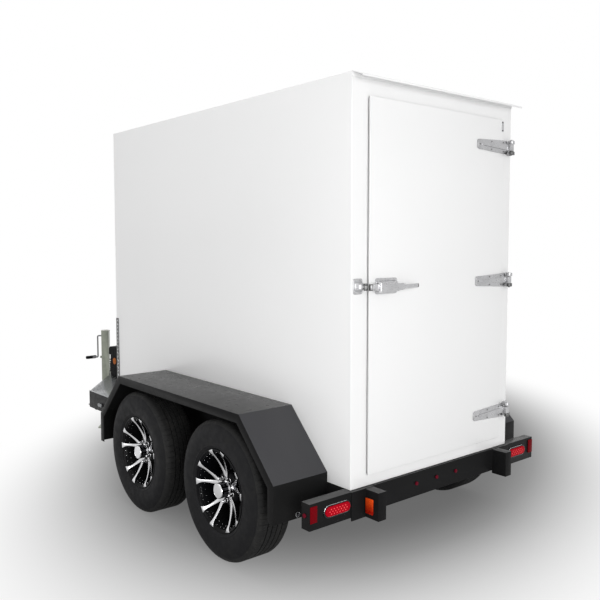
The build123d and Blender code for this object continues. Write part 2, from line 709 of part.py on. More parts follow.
for end, wheel_x in WHEEL_XS.items():
    for hand, side in (("left", 1), ("right", -1)):
        seat = Plane((wheel_x, side * WHEEL_Y, TYRE_R), x_dir=(-side, 0, 0), z_dir=(0, side, 0))
        for kind, master in (("tyre", tyre_master), ("rim", rim_master), ("hub", hub_master)):
            with BuildPart() as wheel_piece:
                add(seat * master.part)
            save(wheel_piece, f"{kind}_{end}_{hand}")

# ---------------------------------------------------------------- jack

JACK_PLATE = 6.0
LEG_WIDTH = 50.0
LEG_TOP_Z = 500.0
CRANK_ROD = 6.0
CRANK_BEND = 10.0
CRANK_OUT = 38.0
CRANK_DROP = 188.0
GRIP_LENGTH = 94.0
GRIP_R = 14.0
GRIP_START = CRANK_OUT + CRANK_BEND + 1.0
jack_seat = Plane((JACK_X, JACK_Y, 0), x_dir=(math.cos(math.radians(-TONGUE_ANGLE)), math.sin(math.radians(-TONGUE_ANGLE)), 0))


def jack_sketch(height):
    """The jack's own horizontal plane at a height: its X runs along the tongue rail."""
    return jack_seat.offset(height)


with BuildPart() as jack_tube:
    with BuildSketch(jack_sketch(JACK_BASE_Z)):
        Rectangle(JACK_TUBE, JACK_TUBE)
        Rectangle(JACK_TUBE - 2 * JACK_WALL, JACK_TUBE - 2 * JACK_WALL, mode=Mode.SUBTRACT)
    extrude(amount=JACK_TOP_Z - JACK_BASE_Z)
    with BuildSketch(jack_sketch(JACK_TOP_Z)):
        RectangleRounded(JACK_TUBE + 5.0, JACK_TUBE + 5.0, 6.0)
    extrude(amount=7.0)
    with BuildSketch(jack_sketch(RAIL_BASE_Z + 10.0)):
        with Locations((0, -JACK_TUBE / 2 - JACK_PLATE / 2)):
            Rectangle(120.0, JACK_PLATE)
    extrude(amount=RAIL_HEIGHT - 20.0)
save(jack_tube, "jack_tube")

with BuildPart() as jack_leg:
    with BuildSketch(jack_sketch(0)):
        RectangleRounded(FOOT_WIDTH, FOOT_WIDTH, 12.0)
    extrude(amount=FOOT_THICK)
    with BuildSketch(jack_sketch(FOOT_THICK)):
        Rectangle(LEG_WIDTH, LEG_WIDTH)
    extrude(amount=LEG_TOP_Z - FOOT_THICK)
save(jack_leg, "jack_leg")

# The crank lies in the upright plane that is square to the tongue rail
crank_plane = Plane(
    jack_seat.from_local_coords((0, JACK_TUBE / 2, CRANK_Z)),
    x_dir=jack_seat.y_dir,
    z_dir=jack_seat.x_dir,
)
with BuildPart() as jack_crank:
    with BuildLine(crank_plane):
        FilletPolyline(
            (0, 0),
            (CRANK_OUT, 0),
            (CRANK_OUT, -CRANK_DROP),
            (GRIP_START + GRIP_LENGTH, -CRANK_DROP),
            radius=CRANK_BEND,
        )
    with BuildSketch(Plane(crank_plane.origin, z_dir=crank_plane.x_dir)):
        Circle(CRANK_ROD)
    sweep()
save(jack_crank, "jack_crank")

grip_start = crank_plane.from_local_coords((GRIP_START, -CRANK_DROP, 0))
with BuildPart() as crank_grip:
    with BuildSketch(Plane(grip_start, z_dir=crank_plane.x_dir)):
        Circle(GRIP_R)
        Circle(CRANK_ROD, mode=Mode.SUBTRACT)
    extrude(amount=GRIP_LENGTH)
save(crank_grip, "crank_grip")
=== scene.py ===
"""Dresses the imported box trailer: finer pieces, finishes, lights and the camera."""

import json
import logging
import math
from collections.abc import Callable, Iterable, Iterator, Sequence
from contextlib import contextmanager
from dataclasses import dataclass
from enum import Enum

import bmesh
import bpy
from mathutils import Matrix, Vector

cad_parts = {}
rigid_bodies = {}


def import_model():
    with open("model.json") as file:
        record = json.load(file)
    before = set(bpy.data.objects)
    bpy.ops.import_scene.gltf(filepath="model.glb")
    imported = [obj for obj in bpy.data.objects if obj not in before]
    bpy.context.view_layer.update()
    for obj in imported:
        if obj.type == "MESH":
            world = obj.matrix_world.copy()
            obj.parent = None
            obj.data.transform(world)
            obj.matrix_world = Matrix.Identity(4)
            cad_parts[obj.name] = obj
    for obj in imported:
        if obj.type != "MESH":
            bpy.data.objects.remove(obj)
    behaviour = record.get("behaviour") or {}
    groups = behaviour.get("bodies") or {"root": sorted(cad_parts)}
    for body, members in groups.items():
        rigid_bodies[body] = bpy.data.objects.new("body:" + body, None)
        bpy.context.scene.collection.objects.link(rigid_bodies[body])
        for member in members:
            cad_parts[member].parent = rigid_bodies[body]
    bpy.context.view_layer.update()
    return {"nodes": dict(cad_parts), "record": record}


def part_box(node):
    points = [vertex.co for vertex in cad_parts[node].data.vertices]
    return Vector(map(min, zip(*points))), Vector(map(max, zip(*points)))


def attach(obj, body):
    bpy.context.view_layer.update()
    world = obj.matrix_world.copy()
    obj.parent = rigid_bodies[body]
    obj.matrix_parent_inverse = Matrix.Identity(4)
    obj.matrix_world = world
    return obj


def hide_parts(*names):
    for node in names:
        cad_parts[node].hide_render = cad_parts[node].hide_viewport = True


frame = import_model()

LOG = logging.getLogger("trailer")
Piece = bpy.types.Object
Material = bpy.types.Material
Socket = bpy.types.NodeSocket
Place = Sequence[float]
Point = tuple[float, float, float]
Colour = tuple[float, float, float]
FaceTest = Callable[[Vector, Vector], bool]
EdgeTest = Callable[[Vector, Vector], bool]

EVEN: Point = (1.0, 1.0, 1.0)
FORWARD, REARWARD, LEFTWARD, UP = (1, 0, 0), (-1, 0, 0), (0, 1, 0), (0, 0, 1)


class Side(Enum):
    """The two sides of the trailer, as the sign of Y."""

    LEFT = 1
    RIGHT = -1


# ---------------------------------------------------------------- bench


class Bench:
    """The modelling bench: short steps made of Blender's own operators."""

    @staticmethod
    def take(*pieces: Piece) -> None:
        """Select these pieces alone, the first one active."""
        bpy.ops.object.select_all(action="DESELECT")
        for piece in pieces:
            piece.select_set(True)
        bpy.context.view_layer.objects.active = pieces[0]

    @staticmethod
    def settle(piece: Piece) -> Piece:
        """Put a piece's place, turn and size into its mesh.

        Args:
            piece: The piece to settle.

        Returns:
            The same piece.
        """
        Bench.take(piece)
        bpy.ops.object.transform_apply(location=True, rotation=True, scale=True)
        return piece

    @staticmethod
    def fresh(name: str) -> Piece:
        """Name the primitive that was added last and return it.

        Args:
            name: The name that it gets.

        Returns:
            The primitive.
        """
        piece = bpy.context.active_object
        piece.name = name
        piece.data.name = name
        return piece

    @staticmethod
    def block(name: str, low: Place, high: Place) -> Piece:
        """Add a block between two corners.

        Args:
            name: The new piece's name.
            low: Its lowest corner.
            high: Its highest corner.

        Returns:
            The block, with its place in its mesh.
        """
        first, last = Vector(low), Vector(high)
        bpy.ops.object.select_all(action="DESELECT")
        bpy.ops.mesh.primitive_cube_add(size=1.0, location=(first + last) / 2)
        piece = Bench.fresh(name)
        piece.scale = last - first
        return Bench.settle(piece)

    @staticmethod
    def rod(
        name: str, start: Place, end: Place, radius: float, sides: int = 24, end_radius: float | None = None
    ) -> Piece:
        """Add a round or many-sided rod, or a cone, between two points.

        Args:
            name: The new piece's name.
            start: The centre of its first end.
            end: The centre of its other end.
            radius: The first end's radius.
            sides: How many flats it has.
            end_radius: The other end's radius, where it differs.

        Returns:
            The rod, with its place in its mesh.
        """
        first, last = Vector(start), Vector(end)
        run = last - first
        bpy.ops.object.select_all(action="DESELECT")
        bpy.ops.mesh.primitive_cone_add(
            vertices=sides,
            radius1=radius,
            radius2=radius if end_radius is None else end_radius,
            depth=run.length,
            location=(first + last) / 2,
            rotation=Vector((0, 0, 1)).rotation_difference(run.normalized()).to_euler(),
        )
        return Bench.settle(Bench.fresh(name))

    @staticmethod
    def ball(name: str, centre: Place, size: Place, segments: int = 12) -> Piece:
        """Add an ellipsoid with these half-lengths round a centre.

        Args:
            name: The new piece's name.
            centre: Its middle.
            size: Its half-lengths along X, Y and Z.
            segments: How many slices go round it.

        Returns:
            The ellipsoid, with its place in its mesh.
        """
        bpy.ops.object.select_all(action="DESELECT")
        bpy.ops.mesh.primitive_uv_sphere_add(segments=segments, ring_count=segments // 2, location=centre)
        piece = Bench.fresh(name)
        piece.scale = size
        return Bench.settle(piece)

    @staticmethod
    def profile(name: str, points: Iterable[Place]) -> Piece:
        """Add an open line of edges through points, ready to be spun or extruded.

        Args:
            name: The new piece's name.
            points: The points, in order.

        Returns:
            The line, as a mesh of edges.
        """
        places = [Vector(point) for point in points]
        mesh = bpy.data.meshes.new(name)
        mesh.from_pydata(places, [(i, i + 1) for i in range(len(places) - 1)], [])
        piece = bpy.data.objects.new(name, mesh)
        bpy.context.scene.collection.objects.link(piece)
        return piece

    @staticmethod
    @contextmanager
    def editing(piece: Piece, kind: str = "FACE") -> Iterator[None]:
        """Open a piece in edit mode with nothing selected, and close it afterwards.

        Args:
            piece: The piece to open.
            kind: What is selected in it: FACE, EDGE or VERT.
        """
        Bench.take(piece)
        bpy.ops.object.mode_set(mode="EDIT")
        bpy.ops.mesh.select_mode(type=kind)
        bpy.ops.mesh.select_all(action="DESELECT")
        yield
        bpy.ops.object.mode_set(mode="OBJECT")

    @staticmethod
    def pick_all() -> None:
        """Select, in edit mode, all of the piece."""
        bpy.ops.mesh.select_all(action="SELECT")

    @staticmethod
    def pick(piece: Piece, test: FaceTest) -> None:
        """Select, in edit mode, the faces whose centre and normal pass a test.

        Args:
            piece: The piece that is open.
            test: Takes a face's centre and its normal.
        """
        mesh = bmesh.from_edit_mesh(piece.data)
        for face in mesh.faces:
            face.select_set(bool(test(face.calc_center_median(), face.normal)))
        mesh.select_flush_mode()
        bmesh.update_edit_mesh(piece.data)

    @staticmethod
    def pick_edges(piece: Piece, test: EdgeTest) -> None:
        """Select, in edit mode, the edges whose two ends pass a test.

        Args:
            piece: The piece that is open.
            test: Takes an edge's two ends.
        """
        mesh = bmesh.from_edit_mesh(piece.data)
        for edge in mesh.edges:
            edge.select_set(bool(test(edge.verts[0].co, edge.verts[1].co)))
        mesh.select_flush_mode()
        bmesh.update_edit_mesh(piece.data)

    @staticmethod
    def extrude(shift: Place) -> None:
        """Draw out, in edit mode, the faces that are selected."""
        bpy.ops.mesh.extrude_region_move(TRANSFORM_OT_translate={"value": shift})

    @staticmethod
    def drawn(name: str, axis: int, stations: Sequence[Place]) -> Piece:
        """Draw a bar along one axis through rectangular sections.

        Args:
            name: The new piece's name.
            axis: The axis it runs along, 0 to 2.
            stations: Places along the bar, each with its section's low and high ends on the other two axes.

        Returns:
            The bar.
        """
        others = [index for index in range(3) if index != axis]

        def section(station: Place) -> tuple[Vector, Vector]:
            """Find the centre and the size of one section.

            Args:
                station: A place along the bar and its section's ends.

            Returns:
                The section's centre and size.
            """
            centre, size = Vector(), Vector((1.0, 1.0, 1.0))
            centre[axis] = station[0]
            for order, other in enumerate(others):
                low, high = station[1 + 2 * order], station[2 + 2 * order]
                centre[other], size[other] = (low + high) / 2, high - low
            return centre, size

        rings = [section(station) for station in stations]
        (start, girth), (after, _) = rings[0], rings[1]
        way = math.copysign(1.0, after[axis] - start[axis])
        low, high = start - girth / 2, start + girth / 2
        low[axis], high[axis] = sorted((start[axis], after[axis]))
        bar = Bench.block(name, low, high)
        with Bench.editing(bar):
            Bench.pick(bar, lambda centre, normal: normal[axis] * way > 0.9)
            for index, ((here, before), (there, now)) in enumerate(zip(rings, rings[1:])):
                shift = there - here
                if index:
                    Bench.extrude(shift)
                else:
                    shift[axis] = 0.0
                    bpy.ops.transform.translate(value=shift)
                bpy.ops.transform.resize(value=[wide / narrow for wide, narrow in zip(now, before)])
        return bar

    @staticmethod
    def rounded(piece: Piece, radius: float, axis: int = 0) -> Piece:
        """Round, in edit mode, the edges of a piece that run along one axis.

        Args:
            piece: The piece to round.
            radius: The radius of each round.
            axis: The axis that the edges run along, 0 to 2.

        Returns:
            The same piece.
        """
        with Bench.editing(piece, "EDGE"):
            Bench.pick_edges(piece, lambda first, second: abs((second - first).normalized()[axis]) > 0.99)
            bpy.ops.mesh.bevel(offset=radius, segments=5, affect="EDGES")
        return piece

    @staticmethod
    def modifier(piece: Piece, kind: str, **settings: object) -> None:
        """Add a modifier with these settings and apply it.

        Args:
            piece: The piece to change.
            kind: The modifier's type.
            settings: Its settings, by name.
        """
        Bench.take(piece)
        step = piece.modifiers.new(kind, kind)
        for name, value in settings.items():
            setattr(step, name, value)
        bpy.ops.object.modifier_apply(modifier=step.name)

    @staticmethod
    def soften(piece: Piece, width: float, segments: int = 2, angle: float = 30.0) -> Piece:
        """Round the edges sharper than an angle and shade the piece smooth between them.

        Args:
            piece: The piece to round.
            width: How far each edge is cut back, in metres.
            segments: How many faces make each round.
            angle: The least angle between faces that counts as an edge, in degrees.

        Returns:
            The same piece.
        """
        Bench.modifier(
            piece, "BEVEL", width=width, segments=segments, limit_method="ANGLE",
            angle_limit=math.radians(angle), harden_normals=False,
        )
        return Bench.shade(piece)

    @staticmethod
    def shade(piece: Piece, angle: float = 35.0) -> Piece:
        """Shade a piece smooth, apart from edges sharper than an angle.

        Args:
            piece: The piece to shade.
            angle: The least angle that stays sharp, in degrees.

        Returns:
            The same piece.
        """
        Bench.take(piece)
        bpy.ops.object.shade_smooth_by_angle(angle=math.radians(angle))
        return piece

    @staticmethod
    def twin(piece: Piece, name: str, move: Matrix) -> Piece:
        """Copy a piece, with its own mesh, and carry the copy by a matrix.

        Args:
            piece: The piece to copy.
            name: The copy's name.
            move: Where the copy goes, as a matrix on world points.

        Returns:
            The copy, with its place in its mesh and its faces outwards.
        """
        Bench.take(piece)
        bpy.ops.object.duplicate(linked=False)
        copy = Bench.fresh(name)
        copy.matrix_world = move @ copy.matrix_world
        Bench.settle(copy)
        if move.determinant() < 0:
            with Bench.editing(copy):
                Bench.pick_all()
                bpy.ops.mesh.flip_normals()
        return copy

    @staticmethod
    def join(name: str, pieces: Sequence[Piece]) -> Piece:
        """Make one piece of several.

        Args:
            name: The new piece's name.
            pieces: The pieces to join.

        Returns:
            The joined piece.
        """
        Bench.take(*pieces)
        if len(pieces) > 1:
            bpy.ops.object.join()
        return Bench.fresh(name)

    @staticmethod
    def spread(name: str, seed: Piece, moves: Sequence[Matrix]) -> Piece:
        """Copy a small seed shape to many places, join the copies and drop the seed.

        Args:
            name: The new piece's name.
            seed: The shape to copy.
            moves: Where each copy goes.

        Returns:
            The copies as one piece.
        """
        copies = [Bench.twin(seed, f"{name}_{index}", move) for index, move in enumerate(moves)]
        bpy.data.objects.remove(seed)
        return Bench.join(name, copies)

    @staticmethod
    def from_node(node: str, name: str) -> Piece:
        """Copy a CAD node's mesh as clean, merged faces, ready to be worked on.

        Args:
            node: The CAD node.
            name: The new piece's name.

        Returns:
            The copy, standing free of any body.
        """
        mesh = frame["nodes"][node].data.copy()
        piece = bpy.data.objects.new(name, mesh)
        bpy.context.scene.collection.objects.link(piece)
        mesh.name = name
        with Bench.editing(piece):
            Bench.pick_all()
            bpy.ops.mesh.remove_doubles(threshold=0.00002)
            bpy.ops.mesh.dissolve_limited(angle_limit=math.radians(0.6))
        return piece

    @staticmethod
    def dressed(node: str, width: float, segments: int = 2, angle: float = 30.0, name: str = "") -> Piece:
        """Copy a CAD node's mesh, by default named after it, and round its edges as soften does."""
        return Bench.soften(Bench.from_node(node, name or f"{node}_dressed"), width, segments, angle)

    @staticmethod
    def outfit(
        node: str, width: float, segments: int, material: Material, slot: str,
        body: str = "chassis", name: str = "",
    ) -> None:
        """Round a CAD node's edges, paint it and deliver it in the node's place."""
        piece = Bench.dressed(node, width, segments, name=name)
        Bench.deliver(Bench.paint(piece, material), slot, [node], body)

    @staticmethod
    def paint(piece: Piece, material: Material, test: FaceTest | None = None) -> Piece:
        """Give a piece, or the faces of it that pass a test, a material.

        Args:
            piece: The piece to paint.
            material: Its new material.
            test: Takes a face's centre and normal, or is None for all faces.

        Returns:
            The same piece.
        """
        if test is None:
            piece.data.materials.clear()
            piece.data.materials.append(material)
            for face in piece.data.polygons:
                face.material_index = 0
            return piece
        piece.data.materials.append(material)
        index = len(piece.data.materials) - 1
        for face in piece.data.polygons:
            if test(face.center, face.normal):
                face.material_index = index
        return piece

    @staticmethod
    def deliver(piece: Piece, slot: str, nodes: Sequence[str] = (), body: str = "chassis") -> None:
        """Attach a finished piece to the body that it rides on and hide the CAD nodes that it stands for.

        Args:
            piece: The finished piece, with its materials.
            slot: Not used.
            nodes: The CAD nodes that it replaces.
            body: The CAD body that it moves with.
        """
        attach(piece, body)
        if nodes:
            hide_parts(*nodes)
        LOG.info("%s rides on %s, %d faces", piece.name, body, len(piece.data.polygons))


# ---------------------------------------------------------------- finishes


class Recipe:
    """A material while it is being mixed: one shader and the nodes that feed it."""

    def __init__(self, name: str, **constants: object) -> None:
        """Start a material with constant shader values, given by socket name.

        Args:
            name: The material's name.
            constants: Constant values, by socket name.
        """
        self.material = bpy.data.materials.new(name)
        self.material.use_nodes = True
        self.tree = self.material.node_tree
        self.tree.nodes.clear()
        self.shader = self.tree.nodes.new("ShaderNodeBsdfPrincipled")
        output = self.tree.nodes.new("ShaderNodeOutputMaterial")
        self.tree.links.new(self.shader.outputs["BSDF"], output.inputs["Surface"])
        for socket, value in constants.items():
            self.shader.inputs[socket.replace("_", " ")].default_value = value

    def node(self, kind: str, inputs: dict[str, object] | None = None, **settings: object) -> bpy.types.Node:
        """Add a node with settings, and set or link its inputs.

        Args:
            kind: The node's type, without its first word.
            inputs: What feeds its inputs, by socket name.
            settings: The node's own settings.

        Returns:
            The node.
        """
        made = self.tree.nodes.new(f"ShaderNode{kind}")
        for name, value in settings.items():
            setattr(made, name, value)
        for name, value in (inputs or {}).items():
            self.feed(made.inputs[name], value)
        return made

    def feed(self, socket: Socket, value: object) -> None:
        """Link an output to a socket, or set the socket's value.

        Args:
            socket: The input to feed.
            value: An output, a number, a vector or a colour.
        """
        if isinstance(value, Socket):
            self.tree.links.new(value, socket)
        elif isinstance(value, tuple) and len(value) == 3 and socket.type == "RGBA":
            socket.default_value = (*value, 1.0)
        else:
            socket.default_value = value

    def place(self, stretch: Point = EVEN) -> Socket:
        """Object coordinates, stretched."""
        source = self.node("TexCoord").outputs["Object"]
        return self.node("Mapping", {"Vector": source, "Scale": stretch}).outputs["Vector"]

    def noise(self, scale: float, detail: float = 2.0, stretch: Point = EVEN, rough: float = 0.5) -> Socket:
        """Noise of about this many lumps to the metre."""
        values = {"Vector": self.place(stretch), "Scale": scale, "Detail": detail, "Roughness": rough}
        return self.node("TexNoise", values).outputs["Fac"]

    def cells(self, scale: float, output: str = "Distance") -> Socket:
        """Cells of about this many to the metre."""
        return self.node("TexVoronoi", {"Vector": self.place(), "Scale": scale}).outputs[output]

    def span(self, value: object, low: float, high: float, start: float = 0.3, end: float = 0.7) -> Socket:
        """Map a value from one range onto another, clamped."""
        values = {"Value": value, "From Min": start, "From Max": end, "To Min": low, "To Max": high}
        return self.node("MapRange", values).outputs["Result"]

    def blend(self, factor: object, first: object, second: object) -> Socket:
        """Mix two colours by a factor.

        Args:
            factor: The share of the second colour.
            first: The first colour.
            second: The second colour.

        Returns:
            The mixed colour.
        """
        mixer = self.node("Mix", data_type="RGBA")
        self.feed(mixer.inputs["Factor"], factor)
        # Inputs 6 and 7 are this node's two colours, and output 2 is the mixed colour.
        self.feed(mixer.inputs[6], first)
        self.feed(mixer.inputs[7], second)
        return mixer.outputs[2]

    def combine(self, first: object, second: object, operation: str = "ADD") -> Socket:
        """Add two numbers, or combine them by another operation.

        Args:
            first: The first number.
            second: The second number.
            operation: The Math node's operation.

        Returns:
            The result.
        """
        step = self.node("Math", operation=operation)
        self.feed(step.inputs[0], first)
        self.feed(step.inputs[1], second)
        return step.outputs[0]

    def relief(self, *heights: tuple[object, float, float]) -> None:
        """Stack bumps on the shader's normal, each as height, strength and depth in metres."""
        normal = None
        for height, strength, depth in heights:
            values = {"Height": height, "Strength": strength, "Distance": depth}
            if normal is not None:
                values["Normal"] = normal
            normal = self.node("Bump", values).outputs["Normal"]
        self.feed(self.shader.inputs["Normal"], normal)

    def finish(self, colour: object, roughness: object) -> Material:
        """Feed the colour and the roughness and return the material.

        Args:
            colour: The base colour.
            roughness: The roughness.

        Returns:
            The material.
        """
        self.feed(self.shader.inputs["Base Color"], colour)
        self.feed(self.shader.inputs["Roughness"], roughness)
        return self.material


def grey(level: float) -> Colour:
    """A neutral colour."""
    return (level, level, level)


def shaded(colour: Colour, factor: float) -> Colour:
    """A colour made darker or lighter by a factor."""
    return tuple(min(1.0, part * factor) for part in colour)


@dataclass(frozen=True)
class GelCoat:
    """Smooth white moulded skin with a faint orange peel."""

    name: str
    colour: Colour = (0.86, 0.86, 0.86)
    roughness: float = 0.32
    peel: float = 0.05

    def material(self) -> Material:
        """Mix the finish.

        Returns:
            The finished material.
        """
        mix = Recipe(self.name, Coat_Weight=0.25, Coat_Roughness=0.12)
        mix.relief((mix.noise(150.0, 1.0), self.peel, 0.0002), (mix.noise(2.0, 1.0), 0.05, 0.004))
        tone = mix.span(mix.noise(1.2, 2.0), 0.0, 1.0)
        rough = mix.span(mix.noise(6.0, 2.0), self.roughness - 0.03, self.roughness + 0.03)
        return mix.finish(mix.blend(tone, shaded(self.colour, 0.99), self.colour), rough)


@dataclass(frozen=True)
class PowderCoat:
    """Baked powder paint on steel, with a fine texture and a little dust."""

    name: str
    colour: Colour
    roughness: float = 0.34
    grain: float = 0.08
    dust: Colour = (0.03, 0.03, 0.03)
    gloss: float = 0.04

    def material(self) -> Material:
        """Mix the finish.

        Returns:
            The finished material.
        """
        mix = Recipe(self.name, Specular_IOR_Level=self.gloss)
        mix.relief((mix.noise(900.0, 2.0), self.grain, 0.0004), (mix.noise(35.0, 3.0), 0.05, 0.001))
        dusty = mix.span(mix.noise(1.6, 3.0), 0.0, 1.0, 0.35, 0.7)
        rough = mix.span(mix.noise(20.0, 6.0), self.roughness - 0.06, self.roughness + 0.08)
        return mix.finish(mix.blend(dusty, self.colour, self.dust), rough)


@dataclass(frozen=True)
class BareMetal:
    """Bare or plated metal, with fine lines along one direction and soft stains."""

    name: str
    colour: Colour
    roughness: float
    lines: Point = EVEN
    depth: float = 0.1
    mottle: float = 0.9
    spangle: float = 0.0

    def material(self) -> Material:
        """Mix the finish.

        Returns:
            The finished material.
        """
        mix = Recipe(self.name, Metallic=1.0)
        mix.relief((mix.noise(60.0, 4.0, self.lines), self.depth, 0.0003))
        patch = mix.span(mix.noise(25.0, 5.0), 0.0, 1.0)
        if self.spangle:
            patch = mix.cells(self.spangle, output="Color")
        rough = mix.span(mix.noise(45.0, 5.0, self.lines), self.roughness - 0.07, self.roughness + 0.09)
        return mix.finish(mix.blend(patch, shaded(self.colour, self.mottle), self.colour), rough)


@dataclass(frozen=True)
class Lens:
    """Moulded lamp lens with fine optics behind its face, and its tones from foot to top."""

    name: str
    colour: Colour
    bright: Colour
    optics: float = 260.0
    glow: float = 0.0
    heights: tuple[float, float] | None = None

    def material(self) -> Material:
        """Mix the finish.

        Returns:
            The finished material.
        """
        mix = Recipe(self.name, Specular_IOR_Level=0.03, Emission_Strength=self.glow)
        facets = mix.cells(self.optics)
        mix.relief((facets, 0.25, 0.0008))
        share = mix.span(facets, 0.35, 0.0, 0.05, 0.6)
        if self.heights:
            level = mix.node("SeparateXYZ", {"Vector": mix.place()}).outputs["Z"]
            share = mix.combine(share, mix.span(level, 0.0, 0.8, *self.heights))
        tone = mix.blend(share, self.colour, self.bright)
        if self.glow:
            mix.feed(mix.shader.inputs["Emission Color"], tone)
        return mix.finish(tone, mix.span(mix.noise(80.0, 2.0), 0.14, 0.24))


@dataclass(frozen=True)
class Moulding:
    """Moulded plastic or rubber, with a grain and worn patches."""

    name: str
    colour: Colour
    roughness: float = 0.55
    grain: float = 700.0
    depth: float = 0.25
    worn: float = 1.7
    gloss: float = 0.05

    def material(self) -> Material:
        """Mix the finish.

        Returns:
            The finished material.
        """
        mix = Recipe(self.name, Specular_IOR_Level=self.gloss)
        mix.relief((mix.cells(self.grain), self.depth, 0.0003), (mix.noise(90.0, 3.0), 0.1, 0.0006))
        patch = mix.span(mix.noise(12.0, 7.0, rough=0.6), 0.0, 1.0, 0.4, 0.75)
        rough = mix.span(mix.noise(30.0, 5.0), self.roughness - 0.06, self.roughness + 0.1)
        return mix.finish(mix.blend(patch, self.colour, shaded(self.colour, self.worn)), rough)


@dataclass(frozen=True)
class TyreRubber:
    """Tyre rubber: dark, dry and a little scuffed, with fine rings turned round the axle."""

    name: str
    colour: Colour = (0.010, 0.010, 0.011)
    scuffed: Colour = (0.018, 0.018, 0.017)

    def material(self) -> Material:
        """Mix the finish.

        Returns:
            The finished material.
        """
        mix = Recipe(self.name, Specular_IOR_Level=0.10)
        mix.relief((mix.noise(500.0, 3.0), 0.2, 0.0005), (mix.noise(40.0, 2.0), 0.1, 0.001))
        scuff = mix.span(mix.noise(18.0, 8.0, rough=0.7), 0.0, 1.0, 0.5, 0.8)
        rough = mix.span(mix.noise(26.0, 6.0), 0.52, 0.72)
        return mix.finish(mix.blend(scuff, self.colour, self.scuffed), rough)


class Paints:
    """Every finish on the trailer, mixed once."""

    def __init__(self) -> None:
        """Mix all the finishes."""
        self.white = GelCoat("white_gel_coat").material()
        self.sheet = GelCoat("white_sheet_paint", roughness=0.36, peel=0.1).material()
        self.floor = Moulding("sealed_grey_floor", (0.42, 0.43, 0.44), 0.5, 300.0, 0.2, 1.1).material()
        self.black = PowderCoat("satin_black_coat", (0.008, 0.008, 0.0085), dust=grey(0.012)).material()
        # Painted sheen: lighter blacks for faces that slope up and faces turned up, where light from above
        # falls; the noise in them is dust.
        slope_sheen_dust = (0.062, 0.062, 0.065)
        self.slope_sheen = PowderCoat("dusty_slope_coat", (0.052, 0.052, 0.056), 0.36, dust=slope_sheen_dust).material()
        self.top_sheen = PowderCoat("dusty_top_coat", grey(0.080), 0.30, dust=grey(0.110)).material()
        self.dark = PowderCoat("dark_under_paint", grey(0.008), 0.55).material()
        drawn_y, drawn_z = (1.0, 9.0, 1.0), (1.0, 1.0, 4.0)
        self.plate = BareMetal("bright_tread_plate", (0.30, 0.31, 0.32), 0.20, drawn_y, 0.12, 0.78).material()
        self.lug = BareMetal("polished_lugs", (0.78, 0.79, 0.80), 0.16, depth=0.05).material()
        spangled = BareMetal("galvanised_steel", (0.50, 0.51, 0.52), 0.34, mottle=0.75, spangle=70.0)
        self.galvanised = spangled.material()
        self.steel = BareMetal("polished_steel", (0.74, 0.75, 0.76), 0.20, (1.0, 1.0, 6.0)).material()
        self.latch = BareMetal("latch_plating", (0.54, 0.54, 0.55), 0.30, drawn_z, mottle=0.86).material()
        self.hinge = BareMetal("hinge_zinc", (0.50, 0.50, 0.51), 0.30, (1.0, 1.0, 7.0), 0.15, 0.82).material()
        # Dark grey metal for small dark parts, and as painted shade in folds, slits and on the guard's
        # returns.
        self.dark_and_painted_shade = BareMetal("hinge_crease", grey(0.13), 0.45).material()
        self.chrome = BareMetal("chrome_plate", (0.72, 0.72, 0.73), 0.10, depth=0.03, mottle=0.92).material()
        # Dark chrome: a painted dark reflection, for chrome that would mirror dark surroundings.
        dark_reflection_colour = (0.045, 0.045, 0.05)
        self.dark_reflection_chrome = BareMetal("smoked_chrome", dark_reflection_colour, 0.14, depth=0.03, mottle=0.8).material()
        clouded = BareMetal("green_zinc_plate", (0.27, 0.285, 0.24), 0.33, (4.0, 4.0, 0.6), mottle=0.84)
        self.zinc = clouded.material()
        self.rod = BareMetal("crank_rod_plate", (0.17, 0.17, 0.175), 0.35).material()
        turned_face = BareMetal("machined_alloy", (0.68, 0.68, 0.69), 0.24, (1.0, 6.0, 1.0), 0.06, 0.88)
        self.machined = turned_face.material()
        self.cast = PowderCoat("cast_drum_paint", (0.02, 0.02, 0.021), 0.5, 0.25).material()
        self.rim = PowderCoat("gloss_black_rim", (0.004, 0.004, 0.005), 0.12, 0.02, grey(0.01)).material()
        self.red = Lens("red_lens", (0.38, 0.001, 0.009), (0.62, 0.008, 0.030)).material()
        self.reflector = Lens("red_reflector", (0.15, 0.001, 0.004), (0.24, 0.004, 0.010), 420.0).material()
        self.small_red = Lens("small_red_lens", (0.11, 0.004, 0.012), (0.26, 0.020, 0.050)).material()
        self.lit_red = Lens("lit_red_optics", (0.80, 0.06, 0.07), (1.0, 0.30, 0.26), glow=0.15).material()
        self.amber_red = Lens(
            "orange_red_lens", (0.30, 0.004, 0.002), (0.90, 0.10, 0.012), 180.0, heights=(0.362, 0.430)
        ).material()
        self.clear = Lens("clear_lens", (0.30, 0.31, 0.32), grey(0.62)).material()
        self.plastic = Moulding("black_moulding", (0.010, 0.010, 0.011)).material()
        self.orange = Moulding("orange_moulding", (0.42, 0.12, 0.03), 0.4, 500.0, 0.1, 1.2).material()
        self.pale = Moulding("pale_moulding", (0.60, 0.60, 0.56), 0.4, 500.0, 0.1, 1.05).material()
        self.rubber = Moulding("grey_seal_rubber", grey(0.30), 0.65, 900.0, 0.3, 1.15).material()
        # Grey for the door slab's edge faces: painted shade in the gap round the door.
        self.edge_painted_shade = Moulding("grey_edge_trim", grey(0.64), 0.5, 600.0, 0.1, 1.05).material()
        self.tyre = TyreRubber("tyre_rubber").material()
        self.tread = TyreRubber("tread_rubber", grey(0.018), (0.040, 0.039, 0.037)).material()

    def coat(self, piece: Piece) -> Piece:
        """Paint a piece black, with painted sheen, a lighter black, on the sloped faces and a lighter one
        still on the faces turned up.

        Args:
            piece: The piece to paint.

        Returns:
            The same piece.
        """
        Bench.paint(piece, self.black)
